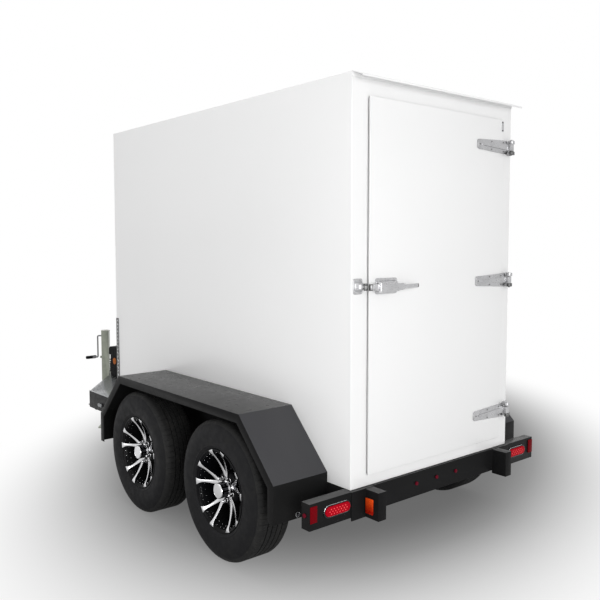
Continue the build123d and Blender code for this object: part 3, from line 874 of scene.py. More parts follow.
        # Painted sheen on sloped faces, and a brighter painted sheen on faces turned up.
        Bench.paint(piece, self.slope_sheen, lambda centre, normal: 0.35 < normal.z <= 0.95)
        return Bench.paint(piece, self.top_sheen, lambda centre, normal: normal.z > 0.95)


# ---------------------------------------------------------------- studio


@dataclass
class Studio:
    """The floor, the backdrop, the lights and the camera."""

    eye: Point = (-4.309, 2.857, 1.6127)
    aim: Point = (86.16, 0.0, -129.96)
    focal: float = 42.98
    shift: tuple[float, float] = (-0.00925, -0.01525)
    # A painted shadow pool on the floor: its centre, size and turn.
    shadow_pool_centre: Point = (0.19, -1.26, 0.0)
    pool_size: Point = (2.0, 3.25, 1.0)
    shadow_pool_turn: float = 40.0
    floor_half: float = 60.0
    ambient: float = 0.45

    def camera(self) -> None:
        """Set up the camera."""
        data = bpy.data.cameras.new("camera")
        data.lens = self.focal
        data.sensor_width = 36.0
        data.shift_x, data.shift_y = self.shift
        data.clip_end = 300.0
        eye = bpy.data.objects.new("camera", data)
        eye.location = self.eye
        eye.rotation_euler = [math.radians(turn) for turn in self.aim]
        bpy.context.scene.collection.objects.link(eye)
        bpy.context.scene.camera = eye

    def area(self, name: str, place: Point, target: Point, size: float, power: float) -> None:
        """Hang a square soft lamp at a place, turned towards a target.

        Args:
            name: The lamp's name.
            place: Where it hangs.
            target: What it points at.
            size: The length of its sides.
            power: Its power, in watts.
        """
        data = bpy.data.lights.new(name, "AREA")
        data.size = size
        data.energy = power
        lamp = bpy.data.objects.new(name, data)
        lamp.location = place
        lamp.rotation_euler = (Vector(target) - Vector(place)).to_track_quat("-Z", "Y").to_euler()
        bpy.context.scene.collection.objects.link(lamp)

    def lights(self) -> None:
        """Hang the lamps."""
        self.area("key_lamp", (-7.5, 2.6, 1.9), (-1.0, 0.0, 0.9), 3.2, 225.0)
        self.area("fill_lamp", (-0.5, 8.0, 2.2), (-0.5, 0.0, 0.6), 4.0, 135.0)
        self.area("top_lamp", (-0.5, 0.5, 7.5), (-0.5, 0.0, 0.0), 5.0, 120.0)

    @staticmethod
    def seen(tree: bpy.types.NodeTree) -> Socket:
        """One for rays that see or mirror the backdrop, and nought for rays that carry its light.

        Args:
            tree: The nodes of a material or of the world.

        Returns:
            The output that holds it.
        """
        path = tree.nodes.new("ShaderNodeLightPath")
        total = path.outputs["Is Camera Ray"]
        for ray in ("Is Transmission Ray", "Is Glossy Ray"):
            step = tree.nodes.new("ShaderNodeMath")
            step.operation = "MAXIMUM"
            tree.links.new(total, step.inputs[0])
            tree.links.new(path.outputs[ray], step.inputs[1])
            total = step.outputs[0]
        return total

    def world(self) -> None:
        """Fill the world with plain light, white where it is seen or mirrored."""
        world = bpy.data.worlds.new("studio_world")
        bpy.context.scene.world = world
        world.use_nodes = True
        tree = world.node_tree
        back = tree.nodes["Background"]
        back.inputs["Color"].default_value = (1.0, 1.0, 1.0, 1.0)
        level = tree.nodes.new("ShaderNodeMapRange")
        level.inputs["To Min"].default_value = self.ambient
        level.inputs["To Max"].default_value = 1.0
        tree.links.new(self.seen(tree), level.inputs["Value"])
        tree.links.new(level.outputs["Result"], back.inputs["Strength"])

    def floor(self) -> None:
        """Lay the floor, with a painted shadow pool: grey under the trailer and fading to the white of the
        backdrop.
        """
        bpy.ops.object.select_all(action="DESELECT")
        bpy.ops.mesh.primitive_grid_add(x_subdivisions=12, y_subdivisions=12, size=2 * self.floor_half)
        ground = Bench.settle(Bench.fresh("studio_floor"))
        mix = Recipe("studio_floor", Specular_IOR_Level=0.0)
        pool = {
            "Vector": mix.node("TexCoord").outputs["Object"], "Location": self.shadow_pool_centre,
            "Rotation": (0.0, 0.0, math.radians(self.shadow_pool_turn)), "Scale": self.pool_size,
        }
        mapped = mix.node("Mapping", pool, vector_type="TEXTURE")
        length = mix.node("VectorMath", {"Vector": mapped.outputs["Vector"]}, operation="LENGTH")
        far = length.outputs["Value"]
        # Painted shadow: the floor's colour is a grey pool round the trailer, lighter with distance.
        grey = mix.span(far, 0.17, 0.8, 0.8, 1.3)
        mix.finish(mix.node("CombineColor", {"Red": grey, "Green": grey, "Blue": grey}).outputs["Color"], 0.9)
        # Seen rays fade from the painted shadow pool to plain white, with a little white even at its middle.
        fade = mix.span(far, 0.12, 1.0, 0.65, 1.3)
        fade.node.interpolation_type = "SMOOTHSTEP"
        white = mix.node("Emission", {"Color": (1.0, 1.0, 1.0), "Strength": 1.0})
        join = mix.node("MixShader")
        mix.feed(join.inputs[0], mix.combine(fade, self.seen(mix.tree), "MULTIPLY"))
        mix.feed(join.inputs[1], mix.shader.outputs["BSDF"])
        mix.feed(join.inputs[2], white.outputs["Emission"])
        output = next(node for node in mix.tree.nodes if node.bl_idname == "ShaderNodeOutputMaterial")
        mix.feed(output.inputs["Surface"], join.outputs[0])
        Bench.paint(ground, mix.material)

    def build(self) -> None:
        """Set the whole studio up."""
        bpy.context.scene.view_settings.view_transform = "Standard"
        self.camera()
        self.lights()
        self.world()
        self.floor()


# ---------------------------------------------------------------- shared shapes


def corners(node: str) -> tuple[Vector, Vector]:
    """Lowest and highest corners of a CAD node."""
    low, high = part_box(node)
    return Vector(low), Vector(high)


def turned(degrees: float) -> Matrix:
    """A turn about the Z axis."""
    return Matrix.Rotation(math.radians(degrees), 4, "Z")


def bolt_head(name: str, centre: Place, out: Place, radius: float, height: float) -> Piece:
    """Make a hexagon bolt head on a washer.

    Args:
        name: The new piece's name.
        centre: Where the washer meets the surface.
        out: The direction that the head points.
        radius: The hexagon's corner radius.
        height: How far the head stands proud.

    Returns:
        The bolt head, its edges rounded.
    """
    base, axis = Vector(centre), Vector(out).normalized()
    washer = Bench.rod(name, base, base + axis * height * 0.22, radius * 1.5, 20)
    head = Bench.rod(f"{name}_hex", base + axis * height * 0.18, base + axis * height, radius, 6)
    return Bench.soften(Bench.join(name, [washer, head]), height * 0.08, 1)


def screw_head(name: str, centre: Place, out: Place, radius: float) -> Piece:
    """Make a round, domed screw head with a drive socket.

    Args:
        name: The new piece's name.
        centre: Where the head meets the surface.
        out: The direction that the head points.
        radius: The head's radius.

    Returns:
        The screw head.
    """
    base, axis = Vector(centre), Vector(out).normalized()
    head = Bench.rod(name, base, base + axis * radius * 0.5, radius, 14, radius * 0.62)
    tip = base + axis * radius * 0.5
    with Bench.editing(head):
        Bench.pick(head, lambda spot, normal: (spot - tip).length < radius * 0.05)
        bpy.ops.mesh.inset(thickness=radius * 0.3)
        bpy.ops.transform.translate(value=tuple(-axis * radius * 0.28))
    return Bench.shade(head, 50.0)


@dataclass
class TreadPlate:
    """Raised lugs of a bright plate, laid alternately along two slants."""

    pitch: float = 0.026
    length: float = 0.0115
    width: float = 0.0030
    height: float = 0.0011

    def lug(self) -> Piece:
        """Make one lug, lying along X and rising along Z.

        Returns:
            The lug.
        """
        bpy.ops.object.select_all(action="DESELECT")
        bpy.ops.mesh.primitive_circle_add(vertices=8, radius=1.0, fill_type="NGON")
        lug = Bench.fresh("lug_seed")
        lug.scale = (self.length, self.width, 1.0)
        Bench.settle(lug)
        with Bench.editing(lug):
            Bench.pick_all()
            Bench.extrude((0, 0, self.height))
            bpy.ops.transform.resize(value=(0.72, 0.5, 1.0))
        return lug

    def field_of(
        self, name: str, origin: Place, across: Place, up: Place,
        size: tuple[float, float], inside: Callable[[Vector], bool] | None = None,
    ) -> Piece:
        """Lay lugs over a flat field.

        Args:
            name: The new piece's name.
            origin: One corner of the field.
            across: The direction of its first side.
            up: The direction of its second side.
            size: The lengths of the two sides.
            inside: Keeps only the lugs whose centre passes this test.

        Returns:
            The lugs as one piece.
        """
        first, second = Vector(across).normalized(), Vector(up).normalized()
        out, corner = first.cross(second), Vector(origin)
        counts = [max(1, int(side / self.pitch)) for side in size]
        margins = [(side - (count - 1) * self.pitch) / 2 for side, count in zip(size, counts)]
        turn = Matrix((first, second, out)).transposed().to_4x4()
        seed = self.lug()
        parts = []
        for slant, starts in ((45.0, ((0, 0), (1, 1))), (-45.0, ((1, 0), (0, 1)))):
            places = [
                corner + first * (margins[0] + i * self.pitch) + second * (margins[1] + j * self.pitch)
                for i, j in starts
            ]
            laid = [Matrix.Translation(place) @ turn @ turned(slant) for place in places]
            pair = Bench.join(f"{name}_pair", [Bench.twin(seed, f"{name}_lug", move) for move in laid])
            for direction, count in zip((first, second), counts):
                Bench.modifier(
                    pair, "ARRAY", count=(count + 1) // 2, use_relative_offset=False,
                    use_constant_offset=True, constant_offset_displace=direction * 2 * self.pitch,
                )
            parts.append(pair)
        bpy.data.objects.remove(seed)
        lugs = Bench.join(name, parts)

        def stray(centre: Vector, normal: Vector) -> bool:
            """Tell whether a lug's top lies outside the field.

            Args:
                centre: A face's centre.
                normal: The face's normal.

            Returns:
                True for a face that is cut away.
            """
            run = centre - corner
            in_field = all(
                margin * 0.5 <= run.dot(way) <= side - margin * 0.5
                for way, side, margin in zip((first, second), size, margins)
            )
            return normal.dot(out) > 0.9 and not (in_field and (inside is None or inside(centre)))

        with Bench.editing(lugs):
            Bench.pick(lugs, stray)
            bpy.ops.mesh.select_linked()
            bpy.ops.mesh.delete(type="VERT")
        return Bench.shade(lugs, 40.0)


# ---------------------------------------------------------------- box body


@dataclass
class BoxBody:
    """The insulated shell, its floor pan, the drip lip and the stone guard."""

    paints: Paints
    panel: float = 0.090
    floor_depth: float = 0.078
    doorway_y: tuple[float, float] = (-0.490, 0.474)
    doorway_z: tuple[float, float] = (0.550, 2.206)
    round_edge: float = 0.004
    pan_height: float = 0.045
    pan_sheet: float = 0.003
    rib_start: float = 0.07
    rib_pitch: float = 0.0745
    rib_half: float = 0.006
    rib_count: int = 13
    rivet_start: float = -0.56
    rivet_pitch: float = 0.16
    rivet_count: int = 8

    def opened(self, name: str, low: Vector, high: Vector) -> Piece:
        """Make a block with the doorway cut out of its rear face.

        Args:
            name: The new piece's name.
            low: The block's lowest corner.
            high: Its highest corner.

        Returns:
            The open block.
        """
        piece = Bench.block(name, low, high)
        on_rear: FaceTest = lambda centre, normal: abs(centre.x - low.x) < 1e-5
        cuts = [((0, y, 0), LEFTWARD) for y in self.doorway_y] + [((0, 0, z), UP) for z in self.doorway_z]
        with Bench.editing(piece):
            for place, normal in cuts:
                Bench.pick(piece, on_rear)
                bpy.ops.mesh.bisect(plane_co=place, plane_no=normal)
            Bench.pick(
                piece,
                lambda centre, normal: on_rear(centre, normal)
                and self.doorway_y[0] < centre.y < self.doorway_y[1]
                and self.doorway_z[0] < centre.z < self.doorway_z[1],
            )
            bpy.ops.mesh.delete(type="FACE")
        return piece

    def shell(self) -> None:
        """Join an outer and an inner block through the doorway into one hollow shell."""
        low, _ = corners("rear_frame")
        _, high = corners("wall_front")
        inner_low = low + Vector((self.panel, self.panel, self.floor_depth))
        inner_high = high - Vector((self.panel, self.panel, self.panel))
        outer = self.opened("box_shell", low, high)
        inner = self.opened("box_lining", inner_low, inner_high)
        with Bench.editing(inner):
            Bench.pick_all()
            bpy.ops.mesh.flip_normals()
        shell = Bench.join("box_shell", [outer, inner])
        with Bench.editing(shell, "EDGE"):
            bpy.ops.mesh.select_non_manifold()
            bpy.ops.mesh.bridge_edge_loops()
            Bench.pick_all()
            bpy.ops.mesh.normals_make_consistent(inside=False)
        Bench.soften(shell, self.round_edge, 3)
        Bench.paint(shell, self.paints.white)
        under: FaceTest = lambda centre, normal: normal.z < -0.9 and centre.z < low.z + 0.001
        Bench.paint(shell, self.paints.dark, under)
        nodes = ["roof", "wall_left", "wall_right", "wall_front", "rear_frame"]
        Bench.deliver(shell, "white_panel", nodes)

    def pan(self) -> None:
        """Lay the coved floor pan inside, open towards the doorway."""
        low, high = corners("box_floor")
        pan = Bench.block("floor_pan", (*low.xy, high.z - 0.002), (*high.xy, high.z + self.pan_height))
        with Bench.editing(pan):
            Bench.pick(pan, lambda centre, normal: normal.z > 0.9 or normal.x < -0.9)
            bpy.ops.mesh.delete(type="FACE")
        Bench.modifier(pan, "SOLIDIFY", thickness=self.pan_sheet, offset=-1.0)
        Bench.soften(pan, 0.0012)
        ribs = []
        for step in range(self.rib_count):
            y = low.y + self.rib_start + self.rib_pitch * step
            foot = (low.x + 0.01, y - self.rib_half, high.z + 0.0005)
            ribs.append(Bench.block("floor_rib", foot, (high.x - 0.01, y + self.rib_half, high.z + 0.004)))
        rib = Bench.soften(Bench.join("floor_ribs", ribs), 0.001)
        piece = Bench.shade(Bench.join("floor_pan", [pan, rib]))
        Bench.paint(piece, self.paints.floor)
        Bench.deliver(piece, "floor_panel", ["box_floor"])

    def lip(self) -> None:
        """Dress the drip lip over the door."""
        lip = Bench.dressed("drip_lip", 0.0008, 2, 20.0, name="drip_lip_sheet")
        Bench.paint(lip, self.paints.sheet)
        Bench.deliver(lip, "white_sheet", ["drip_lip"])

    def guard(self) -> None:
        """Dress the stone guard with lugs and a row of rivets."""
        low, high = corners("stone_guard")
        sheet = Bench.dressed("stone_guard", 0.0012)
        plate = TreadPlate()
        height = high.z - low.z
        fields = [
            plate.field_of("guard_front", (high.x, low.y, low.z), LEFTWARD, UP, (high.y - low.y, height)),
            plate.field_of("guard_left", (high.x, high.y, low.z), REARWARD, UP, (high.x - low.x, height)),
            plate.field_of("guard_right", low, FORWARD, UP, (high.x - low.x, height)),
        ]
        for field, finish in zip(fields, (self.paints.plate, self.paints.lug, self.paints.lug)):
            Bench.paint(field, finish)
        rivet = screw_head("rivet", (high.x, 0, high.z - 0.018), FORWARD, 0.006)
        across = [self.rivet_start + self.rivet_pitch * step for step in range(self.rivet_count)]
        rivets = Bench.spread("guard_rivets", rivet, [Matrix.Translation((0.0005, y, 0)) for y in across])
        plain = Bench.paint(Bench.join("guard_sheet", [sheet, rivets]), self.paints.plate)
        # Painted shade: the sheet's faces that look sideways, the returns, are dark grey metal.
        Bench.paint(plain, self.paints.dark_and_painted_shade, lambda centre, normal: abs(normal.y) > 0.9)
        piece = Bench.join("guard_plate", [plain, *fields])
        Bench.deliver(piece, "tread_plate", ["stone_guard"])

    def build(self) -> None:
        """Build the box body's pieces."""
        self.shell()
        self.pan()
        self.lip()
        self.guard()


# ---------------------------------------------------------------- rear door


@dataclass
class RearDoor:
    """The door slab with its grey edge and seal, the three hinges and the latch."""

    paints: Paints
    slab_round: float = 0.003
    edge_shade_depth: float = 0.013
    plate_z: tuple[float, float] = (2.216, 2.271)
    handle_level: float = 1.409
    flange_bolt: tuple[float, float] = (-1.958, -0.597)
    strap_face: float = -1.975
    rib_face: float = -1.9755
    screw_spots: tuple[tuple[float, float], ...] = (
        # across, and up from the strap's middle
        (-0.505, 0.024), (-0.505, -0.024), (-0.400, 0.021), (-0.400, -0.021), (-0.300, 0.0),
    )

    def slab(self) -> None:
        """Dress the door slab, with grey painted on the faces round its edge."""
        low, _ = corners("door_panel")
        slab = Bench.dressed("door_panel", self.slab_round, 3, name="door_slab")
        Bench.paint(slab, self.paints.white)
        # Painted shade: grey on the slab's edge faces near its rear darkens the line of the gap round the
        # door.
        edge: FaceTest = lambda centre, normal: centre.x < low.x + self.edge_shade_depth and abs(normal.x) < 0.5
        Bench.paint(slab, self.paints.edge_painted_shade, edge)
        face, (foot, top) = low.x - 0.0015, self.plate_z
        plate = Bench.block("door_plate", (face, low.y + 0.0035, foot), (low.x, low.y + 0.026, top))
        parts = [Bench.paint(Bench.soften(plate, 0.0006, 1), self.paints.latch)]
        for z in (foot + 0.006, top - 0.006):
            screw = screw_head("plate_screw", (face, low.y + 0.0145, z), REARWARD, 0.0045)
            parts.append(Bench.paint(screw, self.paints.cast))
        Bench.deliver(Bench.join("door_plate", parts), "galvanised", body="door")
        Bench.deliver(slab, "white_panel", ["door_panel"], "door")

    def seal(self) -> None:
        """Round the seal about the plug."""
        Bench.outfit("door_gasket", 0.0022, 3, self.paints.rubber, "grey_rubber", "door", name="door_seal")

    def straps(self) -> None:
        """Dress the three moving straps with screws, and paint shade into the fold under each rib."""
        strap = Bench.paint(Bench.dressed("hinge_straps", 0.0016), self.paints.hinge)

        def under_rib(centre: Vector, normal: Vector) -> bool:
            """Tell whether a face looks down from the strap's rib."""
            return normal.z < -0.5 and centre.x < self.rib_face and centre.y > -0.535

        # Painted shade: the faces under each rib are dark grey metal.
        Bench.paint(strap, self.paints.dark_and_painted_shade, under_rib)
        parts = [strap]
        for z_low, z_high in self.heights():
            middle = (z_low + z_high) / 2
            for y, rise in self.screw_spots:
                screw = screw_head("strap_screw", (self.strap_face, y, middle + rise), REARWARD, 0.0042)
                parts.append(Bench.paint(screw, self.paints.dark_and_painted_shade))
        piece = Bench.join("hinge_straps_dressed", parts)
        Bench.deliver(piece, "galvanised", ["hinge_straps"], "door")

    def heights(self) -> list[tuple[float, float]]:
        """Lowest and highest points of the three hinge flanges.

        Returns:
            Each flange's lowest and highest points.
        """
        levels = sorted({round(vertex.co.z, 4) for vertex in frame["nodes"]["hinge_flanges"].data.vertices})
        groups: list[list[float]] = []
        for level in levels:
            if groups and level - groups[-1][-1] < 0.2:
                groups[-1].append(level)
            else:
                groups.append([level])
        return [(group[0], group[-1]) for group in groups]

    def flanges(self) -> None:
        """Dress the fixed flanges with bolts through the rear frame."""
        flange = Bench.dressed("hinge_flanges", 0.0012)
        parts = [flange]
        for z_low, z_high in self.heights():
            for z in (z_low + 0.018, z_high - 0.018):
                parts.append(bolt_head("flange_bolt", (*self.flange_bolt, z), REARWARD, 0.0065, 0.006))
        piece = Bench.paint(Bench.join("hinge_flanges_dressed", parts), self.paints.hinge)
        low_ends = [z_low for z_low, _ in self.heights()]

        def foot(centre: Vector, _: Vector) -> bool:
            """Tell whether a face lies on the dark foot of a hinge's barrel."""
            return centre.x < self.strap_face and any(-0.001 < centre.z - end < 0.023 for end in low_ends)

        Bench.paint(piece, self.paints.dark_and_painted_shade, foot)
        Bench.deliver(piece, "galvanised", ["hinge_flanges"])

    def latch(self) -> None:
        """Build the latch: a screwed base, a raised housing, and the link that reaches the strike."""
        low, high = corners("latch_body")
        middle, face, left = (low.z + high.z) / 2, high.x, low.y
        foot = (face - 0.006, left + 0.006, low.z)
        base = Bench.block("latch_base", foot, (face, left + 0.152, high.z + 0.003))
        Bench.soften(Bench.rounded(base, 0.012), 0.0015)
        housing = Bench.drawn("latch_housing", 0, (
            (face - 0.004, left + 0.016, left + 0.146, middle - 0.028, middle + 0.028),
            (face - 0.024, left + 0.020, left + 0.144, middle - 0.024, middle + 0.022),
            (face - 0.036, left + 0.030, left + 0.142, middle - 0.016, middle + 0.014),
        ))
        link = Bench.drawn("latch_link", 1, (
            (left + 0.140, face - 0.042, face - 0.012, middle - 0.020, middle + 0.014),
            (left + 0.172, face - 0.038, face - 0.014, middle - 0.019, middle + 0.015),
            (left + 0.186, face - 0.034, face - 0.014, middle - 0.010, middle + 0.009),
            (high.y, face - 0.030, face - 0.014, middle - 0.014, middle + 0.012),
        ))
        bright = [base, Bench.soften(housing, 0.005, 3), Bench.soften(link, 0.003, 3)]
        bright += [
            screw_head("latch_screw", (face - 0.006, y, z), REARWARD, 0.0055)
            for y in (left + 0.018, left + 0.142) for z in (low.z + 0.009, high.z - 0.006)
        ]
        piece = Bench.paint(Bench.join("latch_body_dressed", bright), self.paints.latch)
        # Painted shade: a dark block fills the slit between the housing and the link, and the collar on the
        # link's end is dark as well.
        gap_low = (face - 0.043, left + 0.150, middle - 0.021)
        gap = Bench.block("latch_gap", gap_low, (face - 0.010, left + 0.160, middle + 0.016))
        x, y = face - 0.022, high.y - 0.007
        collar = Bench.rod("latch_collar", (x, y, middle - 0.016), (x, y, middle + 0.014), 0.0095, 20)
        dark = [Bench.soften(gap, 0.002), Bench.soften(collar, 0.0015)]
        parts = [piece, *(Bench.paint(part, self.paints.dark_and_painted_shade) for part in dark)]
        piece = Bench.join("latch_body_dressed", parts)
        Bench.deliver(piece, "polished_steel", ["latch_body"], "door")

    def handle(self) -> None:
        """Draw the handle from its rounded head to a thin tip."""
        low, high = corners("latch_handle")
        front, back, level = low.x, high.x, self.handle_level
        grip = Bench.drawn("latch_handle_dressed", 1, (
            (0.486, front + 0.001, back + 0.004, level - 0.026, level + 0.019),
            (0.430, front, back, level - 0.030, level + 0.018),
            (0.376, front, back, level - 0.022, level + 0.016),
            (0.328, front, back, level - 0.0165, level + 0.0135),
            (0.318, front + 0.002, back - 0.001, level - 0.0130, level + 0.006),
            (0.232, front + 0.002, back - 0.001, level - 0.0110, level + 0.009),
            (0.222, front + 0.003, back - 0.002, level - 0.0090, level + 0.008),
        ))
        Bench.soften(grip, 0.0035, 3, 25.0)
        Bench.paint(grip, self.paints.latch)
        # Painted highlight: brighter chrome on the head end; painted shade: dark grey metal on the thin tip.
        Bench.paint(grip, self.paints.chrome, lambda centre, normal: centre.y > 0.462)
        Bench.paint(grip, self.paints.dark_and_painted_shade, lambda centre, normal: centre.y < 0.229)
        Bench.deliver(grip, "polished_steel", ["latch_handle"], "door")

    def strike(self) -> None:
        """Build the strike: a screwed plate, a domed keeper and its dark roller."""
        low, high = corners("latch_strike")
        middle = (low.z + high.z) / 2
        plate = Bench.block("strike_plate", (high.x - 0.006, low.y, low.z), (high.x, high.y, high.z))
        Bench.soften(Bench.rounded(plate, 0.009), 0.0015)
        dome = Bench.drawn("strike_dome", 0, (
            (high.x - 0.003, low.y + 0.002, high.y - 0.004, middle - 0.023, middle + 0.020),
            (high.x - 0.016, low.y + 0.004, high.y - 0.010, middle - 0.020, middle + 0.017),
            (high.x - 0.030, low.y + 0.006, high.y - 0.022, middle - 0.013, middle + 0.010),
        ))
        bright = [plate, Bench.soften(dome, 0.006, 3)] + [
            screw_head("strike_screw", (high.x - 0.006, y, z), REARWARD, 0.005)
            for y in (low.y + 0.010, high.y - 0.012) for z in (low.z + 0.008, high.z - 0.008)
        ]
        parts = [Bench.paint(Bench.join("latch_strike_dressed", bright), self.paints.latch)]
        x, y = low.x + 0.014, low.y + 0.007
        for z in (middle - 0.013, middle + 0.009):
            roller = Bench.rod("strike_roller", (x, y, z - 0.005), (x, y, z + 0.005), 0.0085, 20)
            parts.append(Bench.paint(Bench.soften(roller, 0.001), self.paints.dark_and_painted_shade))
        piece = Bench.join("latch_strike_dressed", parts)
        Bench.deliver(piece, "galvanised", ["latch_strike"])

    def build(self) -> None:
        """Build the door's pieces."""
        self.slab()
        self.seal()
        self.straps()
        self.flanges()
        self.latch()
        self.handle()
        self.strike()


# ---------------------------------------------------------------- frame and tongue


@dataclass
class Chassis:
    """Side rails, crossmembers, tongue, coupler and the bright deck."""

    paints: Paints
    tube_round: float = 0.005
    gusset_half: tuple[float, float] = (0.11, 0.07)
    gusset_depth: float = 0.006
    deck_margin: float = 0.016

    def rails(self) -> None:
        """Round the edges of the rails, the crossmembers and the tongue's rails and beam."""
        for node in ("frame_rails", "crossmembers", "tongue_rails", "tongue_beam"):
            black = self.paints.black
            Bench.outfit(node, self.tube_round, 3, black, "black_paint", name=f"{node}_tube")

    def gussets(self) -> None:
        """Bolt a gusset plate under each joint of rail and tongue."""
        low, high = corners("frame_rails")
        parts = []
        long, wide = self.gusset_half
        under = low.z - self.gusset_depth
        for side in Side:
            y = side.value * (high.y - 0.075)
            plate = Bench.block("gusset", (high.x - long, y - wide, under), (high.x + long, y + wide, low.z))
            with Bench.editing(plate):
                Bench.pick(plate, lambda centre, normal: normal.x > 0.9)
                bpy.ops.transform.resize(value=(1.0, 0.5, 1.0))
            parts.append(Bench.soften(plate, 0.0015))
            for x in (-0.08, -0.03, 0.03, 0.08):
                place = (high.x + x, y + side.value * 0.02, under)
                parts.append(bolt_head("gusset_bolt", place, (0, 0, -1), 0.011, 0.009))
        piece = Bench.paint(Bench.join("tongue_gussets", parts), self.paints.black)
        Bench.deliver(piece, "black_paint")

    def coupler(self) -> None:
        """Dress the coupler with its lever and through bolts."""
        low, high = corners("coupler")
        body = Bench.dressed("coupler", 0.004, 3)
        foot = (low.x + 0.135, -0.011, high.z - 0.014)
        lever = Bench.block("coupler_lever", foot, (low.x + 0.190, 0.011, high.z - 0.002))
        with Bench.editing(lever):
            Bench.pick(lever, lambda centre, normal: normal.x > 0.9)
            for run, rise, size in ((0.03, -0.004, 0.9), (0.025, -0.010, 0.8)):
                Bench.extrude((run, 0, rise))
                bpy.ops.transform.resize(value=(1.0, size, size))
        Bench.soften(lever, 0.003, 3)
        bolts = []
        for side in Side:
            for x in (0.025, 0.070):
                place = (low.x + x, side.value * high.y, (low.z + high.z) / 2)
                bolt = bolt_head("coupler_bolt", place, (0, side.value, 0), 0.012, 0.010)
                bolts.append(Bench.paint(bolt, self.paints.zinc))
        Bench.paint(body, self.paints.black)
        Bench.paint(lever, self.paints.zinc)
        piece = Bench.join("coupler_dressed", [body, lever, *bolts])
        Bench.deliver(piece, "black_paint", ["coupler"])

    def deck(self) -> None:
        """Dress the tongue's deck with raised lugs and screws."""
        low, high = corners("deck_plate")
        _, rail_high = corners("frame_rails")
        tongue_low, tongue_high = corners("tongue_rails")
        plate = Bench.dressed("deck_plate", 0.0012)
        slope = (tongue_high.y - 0.038) / (high.x - tongue_low.x)

        def inside(centre: Vector) -> bool:
            """Tell whether a lug lies on the deck's trapezium."""
            limit = high.y if centre.x < rail_high.x else tongue_high.y - (centre.x - rail_high.x) * slope
            return abs(centre.y) < limit - self.deck_margin and centre.x < high.x - self.deck_margin

        lugs = TreadPlate().field_of(
            "deck_lugs", (*low.xy, high.z), FORWARD, LEFTWARD, (high.x - low.x, high.y - low.y), inside
        )
        screws = Bench.spread(
            "deck_screws", screw_head("deck_screw", (low.x + 0.03, 0, high.z), UP, 0.007),
            [Matrix.Translation((0, y, 0)) for y in (-0.56, -0.28, 0.28, 0.56)],
        )
        piece = Bench.paint(Bench.join("deck_dressed", [plate, lugs, screws]), self.paints.plate)
        Bench.deliver(piece, "tread_plate", ["deck_plate"])

    def build(self) -> None:
        """Build the chassis pieces."""
        self.rails()
        self.gussets()
        self.coupler()
        self.deck()


@dataclass
class Fenders:
    """The two folded fenders with their stays and bolts."""

    paints: Paints
    stay_inset: float = 0.42
    stay_length: float = 0.30
    bolt_y: float = 0.795
    bolt_z: float = 0.352

    def build(self) -> None:
        """Dress each fender with crisp folds, inner stays and bolts."""
        for side in Side:
            node = f"fender_{side.name.lower()}"
            low, high = corners(node)
            parts = [Bench.dressed(node, 0.0011, 2, 20.0)]
            y_out = side.value
            inner = min(abs(low.y), abs(high.y))
            outer = inner + self.stay_length
            tip: FaceTest = lambda centre, normal: abs(centre.y) > outer - 0.01 and abs(normal.y) > 0.9
            for x in (low.x + self.stay_inset, (low.x + high.x) / 2, high.x - self.stay_inset):
                foot = (x - 0.02, y_out * inner, high.z - 0.030)
                stay = Bench.block("stay", foot, (x + 0.02, y_out * outer, high.z - 0.003))
                with Bench.editing(stay):
                    Bench.pick_all()
                    bpy.ops.mesh.normals_make_consistent(inside=False)
                    Bench.pick(stay, tip)
                    bpy.ops.transform.resize(value=(1.0, 1.0, 0.3))
                    bpy.ops.transform.translate(value=(0, 0, 0.009))
                parts.append(Bench.soften(stay, 0.002))
            piece = self.paints.coat(Bench.join(f"{node}_dressed", parts))
            place = Vector((low.x, y_out * self.bolt_y, self.bolt_z))
            washer = Bench.rod("fender_washer", place, place - Vector((0.003, 0, 0)), 0.013)
            Bench.paint(Bench.soften(washer, 0.001), self.paints.latch)
            # Painted dark reflection: the bolt head is dark chrome.
            bolt = bolt_head("fender_bolt", place - Vector((0.002, 0, 0)), REARWARD, 0.0075, 0.007)
            Bench.paint(bolt, self.paints.dark_reflection_chrome)
            piece = Bench.join(f"{node}_dressed", [piece, washer, bolt])
            Bench.deliver(piece, "black_paint", [node])


# ---------------------------------------------------------------- tail


